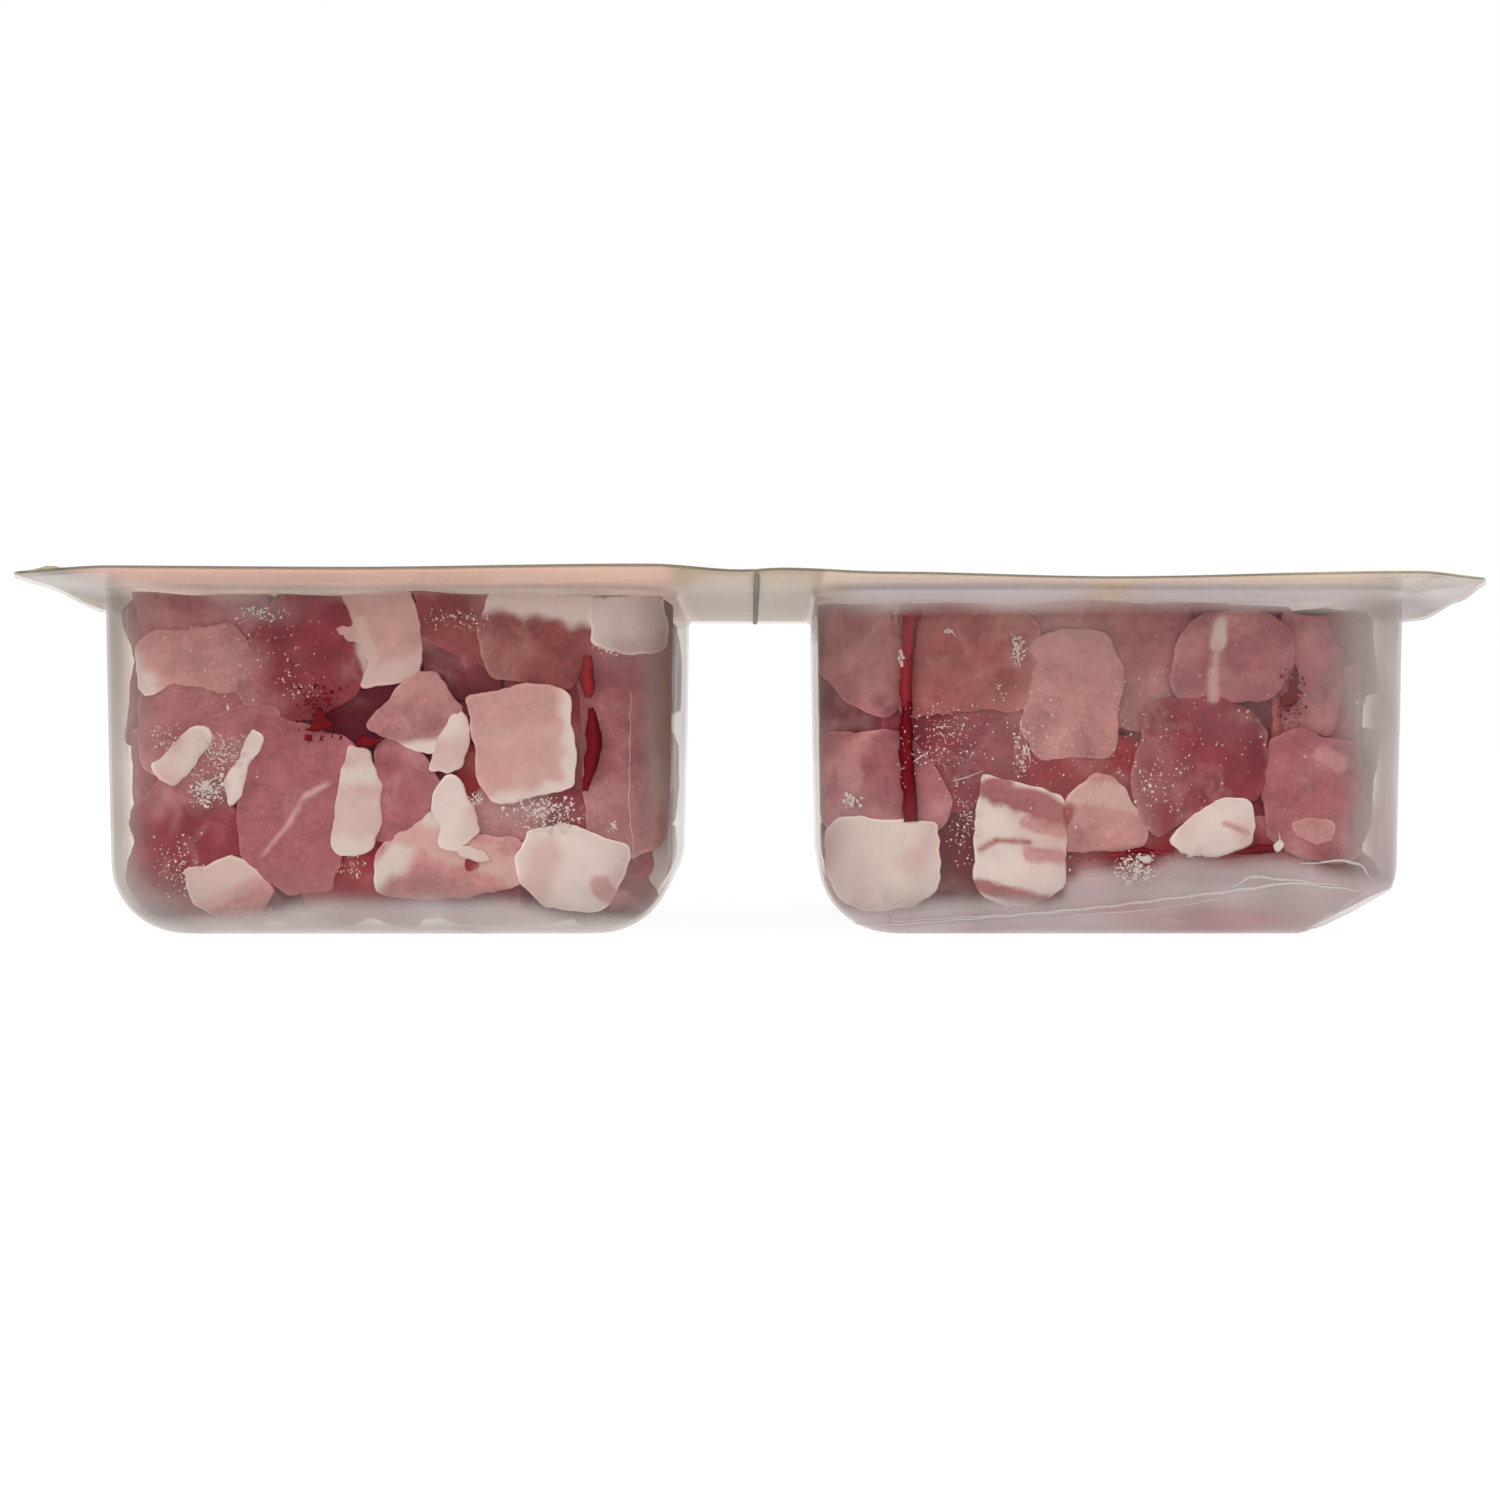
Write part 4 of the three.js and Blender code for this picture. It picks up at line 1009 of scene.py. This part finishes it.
def meat_heap(name, node, tub, rows, seed, material):
    """One tub's diced meat as a joined mesh, over a plain core of meat that is hidden but for the gaps, where
    its darkest tone is painted shade.
    """
    parts = [pressed_die(row, k, tub, *FRONT_GRID) for k, row in enumerate(rows)]
    for k, row in enumerate(filling_dice(tub, seed + 2), len(rows)):
        parts.append(pressed_die(row, k, tub, *FILL_GRID))
    tones = ["lean", "dark", "pink", "blush", "lean", "cream", "brown"]
    for k, (middle, size, turns) in enumerate(lattice_dice(tub, seed)):
        own = seed * 100 + k * 5
        local, faces = cut_block(size, LOOSE, own)
        fat = [(own * 37 % 360, 0.35, 2)] if k % 2 else []
        colours = flesh_colours(local, np.array(size) / 2, tones[own * 7 % len(tones)], fat, own)
        parts.append((pressed_in(turned(local, turns) + middle, tub, LOOSE.inset), faces, colours))
    core_size = (2 * (tub.half_width - CORE.inset), 2 * (TUB.half_depth - CORE.inset), CORE.top - CORE.bottom)
    local, faces = cut_block(core_size, CORE_CUT, seed + 5)
    core = pressed_in(local + (tub.middle, 0, (CORE.top + CORE.bottom) / 2), tub, CORE_CUT.inset)
    # The core's darkest tone is painted shade in the gaps between the dice.
    parts.append((core, faces, plain(core, "pocket")))
    piece = make_piece(name, *join(parts), material, "cured_pork", node)
    colours = np.vstack([part[2] for part in parts])
    set_points(piece, "flesh", colours)
    set_points(piece, "leanness", 1 - 0.85 * smooth(colours[:, 1] / colours[:, 0], 0.42, 0.72))


# ---- juice, fat smears, folds and the tear line

CLING = 0.08  # The thickness of what clings to the film.


def on_film(points, inset):
    """Points (x, z) laid against the front of their tub's film, inset from its outer face."""
    x, z = np.asarray(points, float).T
    tub = LEFT_TUB if x[0] < 0 else RIGHT_TUB
    in_front = np.full(len(x), -40)
    return pressed_in(np.c_[x, in_front, z], tub, inset, True)


def lens_on_film(ring, inset):
    """A thin closed patch against the film, from the ring round it."""
    count, middle, back = len(ring), ring.mean(0), inset + CLING
    inner = middle + (ring - middle) * 0.7
    points = np.vstack([on_film(ring, inset + CLING / 2), on_film(inner, inset), on_film(inner, back),
                        on_film([middle], inset), on_film([middle], back)])
    faces = []
    for n in range(count):
        m = (n + 1) % count
        faces += [(n, m, count + m, count + n), (m, n, 2 * count + n, 2 * count + m),
                  (3 * count, count + n, count + m), (3 * count + 1, 2 * count + m, 2 * count + n)]
    return points, faces


def ribbon_on_film(path, inset, widen):
    """A thin closed strip against the film along (x, z, half width) stations."""
    stations = np.array(path, float) * (1, 1, widen)
    reach = np.r_[0, np.cumsum(np.linalg.norm(np.diff(stations[:, :2], axis=0), axis=1))]
    at = np.linspace(0, reach[-1], max(4, int(reach[-1] / 0.5)))
    x, z, half = (np.interp(at, reach, stations[:, k]) for k in range(3))
    line = np.c_[x + 0.06 * np.sin(at * 2.1), z + 0.05 * np.cos(at * 1.7)]
    dx, dz = np.gradient(line, axis=0).T
    half = half * (1 + 0.09 * np.sin(at * 2.3 + 1) + 0.06 * np.sin(at * 5.1))
    side = unit(np.c_[-dz, dx]) * half[:, None]
    rails = [on_film(line + side, inset + CLING / 2), on_film(line, inset),
             on_film(line - side, inset + CLING / 2), on_film(line, inset + CLING)]
    return np.vstack(rails), rail_faces(len(at))


def speck_rings(rows, seed):
    """Rings for specks strewn in boxes, each (x, z, half width, half height, count, smallest, largest)."""
    draws = random_source(seed)
    angles = np.arange(6) * math.pi / 3
    for x, z, wide, high, count, small, large in rows:
        for _ in range(int(count * 2.2)):
            a, b = (next(draws) + next(draws) - 1) * wide, (next(draws) + next(draws) - 1) * high
            size = 0.1 + small / 2 + 0.75 * (large - small) * next(draws) ** 4
            stretch, turn = 0.8 + 0.4 * next(draws), next(draws) * math.pi
            radius = size / 2 * (1 + 0.9 * np.array([next(draws) - 0.5 for _ in angles]))
            u, v = radius * np.cos(angles) * stretch, radius * np.sin(angles) / stretch
            cos, sin = math.cos(turn), math.sin(turn)
            yield np.c_[x + a + u * cos - v * sin, z + b + u * sin + v * cos]


def film_details(name, material, slot, specks=(), patches=(), ribbons=(), inset=0.34, seed=5, widen=1):
    """Everything of one kind that clings to the film, as a joined mesh."""
    parts = [lens_on_film(ring, inset) for ring in speck_rings(specks, seed)]
    parts += [lens_on_film(outline_ring(row, 0, 28, seed + k), inset) for k, row in enumerate(patches)]
    parts += [ribbon_on_film(path, inset, widen) for path in ribbons]
    return make_piece(name, *join(parts), material, slot)


JUICE_RIBBONS = [
    [(-16.8, 24.3, 0.25), (-16.5, 22.5, 0.75), (-16.4, 20, 0.85), (-17, 17.4, 0.6), (-17.3, 15.6, 0.25)],
    [(16.5, 25, 0.5), (16.4, 21, 0.75), (16.6, 17.5, 0.75), (16.9, 14, 0.75), (16.9, 12.4, 0.8)],
    [(39.6, 9.1, 0.15), (41.2, 9.4, 0.4), (42.6, 9.2, 0.15)],
    [(51, 9, 0.12), (53.6, 9.5, 0.5), (55.4, 9.4, 0.4)],
]
THIN_JUICE_RIBBONS = [
    [(-17.1, 29.8, 0.4), (-17.1, 28, 0.75), (-17, 26.4, 0.7), (-17, 25.4, 0.35)],
    [(17, 34.6, 1), (16.7, 31.5, 0.75), (16.4, 28, 0.65), (16.4, 24.4, 0.6)],
    [(33.2, 8.3, 0.1), (36, 8.5, 0.12), (39.5, 9, 0.2)], [(42.5, 9.1, 0.3), (46, 8.8, 0.1)],
    [(39.2, 1.9, 0.15), (41.4, 1.7, 0.3), (44, 1.6, 0.12)],
    [(50, 4.5, 0.15), (52, 4.8, 0.35), (53.4, 4.6, 0.1)],
]
JUICE_PATCHES = [
    [(-45.6, 24.6), (-45, 24.4), (-44.5, 23.4), (-43.7, 22.8), (-44, 22.1), (-45.6, 21.7), (-46.6, 22),
     (-46.1, 23)], [(-46.9, 21.6), (-46.2, 21.5), (-46.3, 20.9), (-47, 21)],
    [(-44.6, 25.5), (-44, 25.3), (-44.3, 24.7)],
    [(57.3, 29), (57.8, 27.4), (57.5, 25.8), (57.9, 24.8), (57, 24.2), (56, 24.5), (55.5, 25.3), (56.5, 25.8),
     (56.9, 27.3)], [(-41, 21.4), (-38.4, 21.2), (-39.6, 20.2), (-41.6, 20.6)],
]
JUICE_SPECKS = [
    (-45, 24, 3, 3.6, 60, 0.12, 0.6), (57, 25.4, 1.8, 3.2, 56, 0.1, 0.6), (16.5, 22, 0.9, 3, 14, 0.1, 0.3),
]
FAT_SPECKS = [
    (-57, 15.7, 2.4, 1.9, 90, 0.07, 0.5), (-55.6, 19.4, 4, 2.6, 110, 0.05, 0.22),
    (-22, 13.8, 4.6, 1.3, 84, 0.06, 0.45), (-53, 29.6, 10, 6, 46, 0.05, 0.22),
    (-47.5, 26.6, 3.5, 2, 16, 0.05, 0.2), (-14.4, 11.8, 0.7, 0.6, 6, 0.15, 0.5),
    (-21, 12.3, 4.2, 1.5, 60, 0.06, 0.3), (-61.5, 21.5, 2, 2, 30, 0.05, 0.25),
    (-42, 7.6, 2, 1.2, 16, 0.06, 0.3), (-28.8, 14.6, 0.9, 1.1, 16, 0.08, 0.35),
    (-13.5, 30.8, 3.4, 1.2, 60, 0.05, 0.25), (-30.5, 33.6, 4, 1.4, 30, 0.06, 0.3),
    (-51.5, 34.3, 3, 0.9, 30, 0.06, 0.4), (-60, 7.5, 3.6, 4, 60, 0.05, 0.25),
    (20.8, 32.4, 0.6, 0.3, 6, 0.15, 0.7), (28.2, 30.6, 1, 1.8, 34, 0.06, 0.4),
    (26.4, 26, 0.6, 1.2, 4, 0.1, 0.5), (28.8, 20, 1.2, 3.6, 34, 0.08, 0.45),
    (10.8, 14.4, 1.1, 0.9, 22, 0.1, 0.5), (40.8, 7.4, 2.6, 1.7, 110, 0.07, 0.45),
    (20, 20.6, 4.6, 5, 90, 0.05, 0.24), (22.6, 12, 2.4, 5, 56, 0.05, 0.26), (40, 20, 22, 13, 130, 0.05, 0.24),
    (64.2, 24.9, 0.5, 0.5, 6, 0.1, 0.4), (42.6, 16, 3, 3.4, 24, 0.08, 0.4),
    (15.9, 29.6, 0.5, 1.2, 16, 0.08, 0.45),
]
FAT_PATCHES = [
    [(-55.2, 25), (-54.8, 25), (-54.5, 24.4), (-54.8, 23.8), (-55.2, 24.1)],
    [(20.4, 32.7), (20.9, 32.8), (21.2, 32.4), (20.8, 32.2)],
    [(40.6, 8.7), (42, 8.9), (42.8, 8.4), (41.9, 7.8), (40.9, 8.2)],
    [(55.2, 9.8), (55.8, 10.3), (56.1, 10), (55.7, 9.3), (55.2, 9.3)],
    [(28.6, 17.9), (29, 18), (29.1, 17.6), (28.7, 17.5)],
]
FAT_RIBBONS = [
    [(55.8, 10, 0.14), (55.7, 10.8, 0.04), (55.6, 11.3, 0.02)], [(21.2, 32.3, 0.08), (21.6, 31.8, 0.03)],
    [(19.6, 22.2, 0.06), (20.4, 22.4, 0.05), (21.2, 22.4, 0.02)],
    [(17.2, 18.6, 0.04), (17.9, 19.2, 0.09), (18.6, 19.6, 0.03)],
    [(21.4, 16.6, 0.05), (22.6, 17, 0.06), (24.6, 17.7, 0.02)],
    [(29, 20.6, 0.05), (29.3, 19.6, 0.1), (29.6, 18.6, 0.03)],
    [(-58.4, 16.6, 0.06), (-57.4, 15.8, 0.12), (-56.6, 16.8, 0.05), (-55.4, 17.2, 0.03)],
    [(-58, 14.4, 0.12), (-57.2, 14.7, 0.08), (-56.6, 14.2, 0.03)],
    [(-29.2, 15.2, 0.05), (-28.4, 14.2, 0.06), (-28.6, 15.6, 0.04)],
    [(27.6, 31.4, 0.05), (28.2, 30, 0.1), (28.4, 28.6, 0.05)],
]
# Folds where the film was pinched white, their pale lines also a painted highlight on each crease, as (x, z,
# half width). The last three are only painted highlights, down the curved upright corners of the tubs.
FOLDS_AND_HIGHLIGHTS = [
    [(11, 0.9, 0.05), (24, 2, 0.1), (36.7, 3.2, 0.12), (44, 4.15, 0.1), (52, 5.2, 0.12), (57, 5.95, 0.1),
     (63, 5.2, 0.08), (67.2, 4.7, 0.05)],
    [(50.6, 5.3, 0.04), (52.6, 6.6, 0.14), (54.5, 6.4, 0.1), (58, 6.1, 0.07), (62, 5.6, 0.04)],
    [(57.8, 7.9, 0.03), (62.5, 8.3, 0.1), (64.4, 7.8, 0.12), (66, 5.9, 0.06), (67.3, 4.8, 0.03)],
    [(67.5, 9, 0.03), (67.6, 6, 0.08), (67.4, 4.6, 0.1)], [(34, 2.4, 0.04), (42, 2.9, 0.07), (50, 4.2, 0.03)],
    [(15, 1.6, 0.04), (25, 2.3, 0.07), (34, 2.7, 0.03)],
    [(-12.6, 26, 0.015), (-12.8, 14, 0.03), (-12.2, 8, 0.015)],
    [(-65.8, 35, 0.015), (-66.2, 20, 0.03), (-66, 9, 0.015)],
    [(67.3, 34, 0.02), (67.7, 20, 0.04), (67.4, 9, 0.02)],
]


def tear_line():
    """The perforation across the bridge, seen from below as one grey brown line."""
    y = np.linspace(0.2 - HALF_DEPTH, HALF_DEPTH - 0.2, 87)
    rails = []
    for side, drop in ((-0.26, 0.02), (0.26, 0.02), (0.26, 0.08), (-0.26, 0.08)):
        x = np.full(len(y), TEAR.x + side)
        rails.append(np.c_[x, y, lip_underside(x, y) - drop])
    cut_edges = wet_film("cut_film_edges", "#8d8378", 0.5, 1.2)
    make_piece("tear_line", np.vstack(rails), rail_faces(len(y)), cut_edges, "clear_film")


set_the_stage()
pork = cured_pork_flesh()
tray_film()
lid_film()
meat_heap("diced_meat_left", "dice_left", LEFT_TUB, LEFT_FRONT, 7, pork)
meat_heap("diced_meat_right", "dice_right", RIGHT_TUB, RIGHT_FRONT, 19, pork)
film_details("meat_juice", wet_film("pooled_meat_juice", "#6c0214", 0.15, 1.5, 0.94), "meat_juice",
             JUICE_SPECKS, JUICE_PATCHES, JUICE_RIBBONS)
film_details("thin_meat_juice", wet_film("thin_meat_juice", "#962832", 0.2, 1.5, 0.75), "meat_juice",
             ribbons=THIN_JUICE_RIBBONS)
film_details("fat_smears", wet_film("smeared_pork_fat", "#e0d5cf", 0.45, 0.8, 0.75), "pork_fat",
             FAT_SPECKS, FAT_PATCHES, FAT_RIBBONS, seed=29)
# This piece holds the whitened folds and the painted highlight lines down the tubs' corners.
folds = film_details("film_folds_and_highlights", clear_tray_film(), "clear_film", ribbons=FOLDS_AND_HIGHLIGHTS, inset=-0.1, widen=1.4)
set_points(folds, "bloom", np.full(len(folds.data.vertices), 0.36))
set_points(folds, "tint", plain(folds.data.vertices, "#e2dcda"))
tear_line()
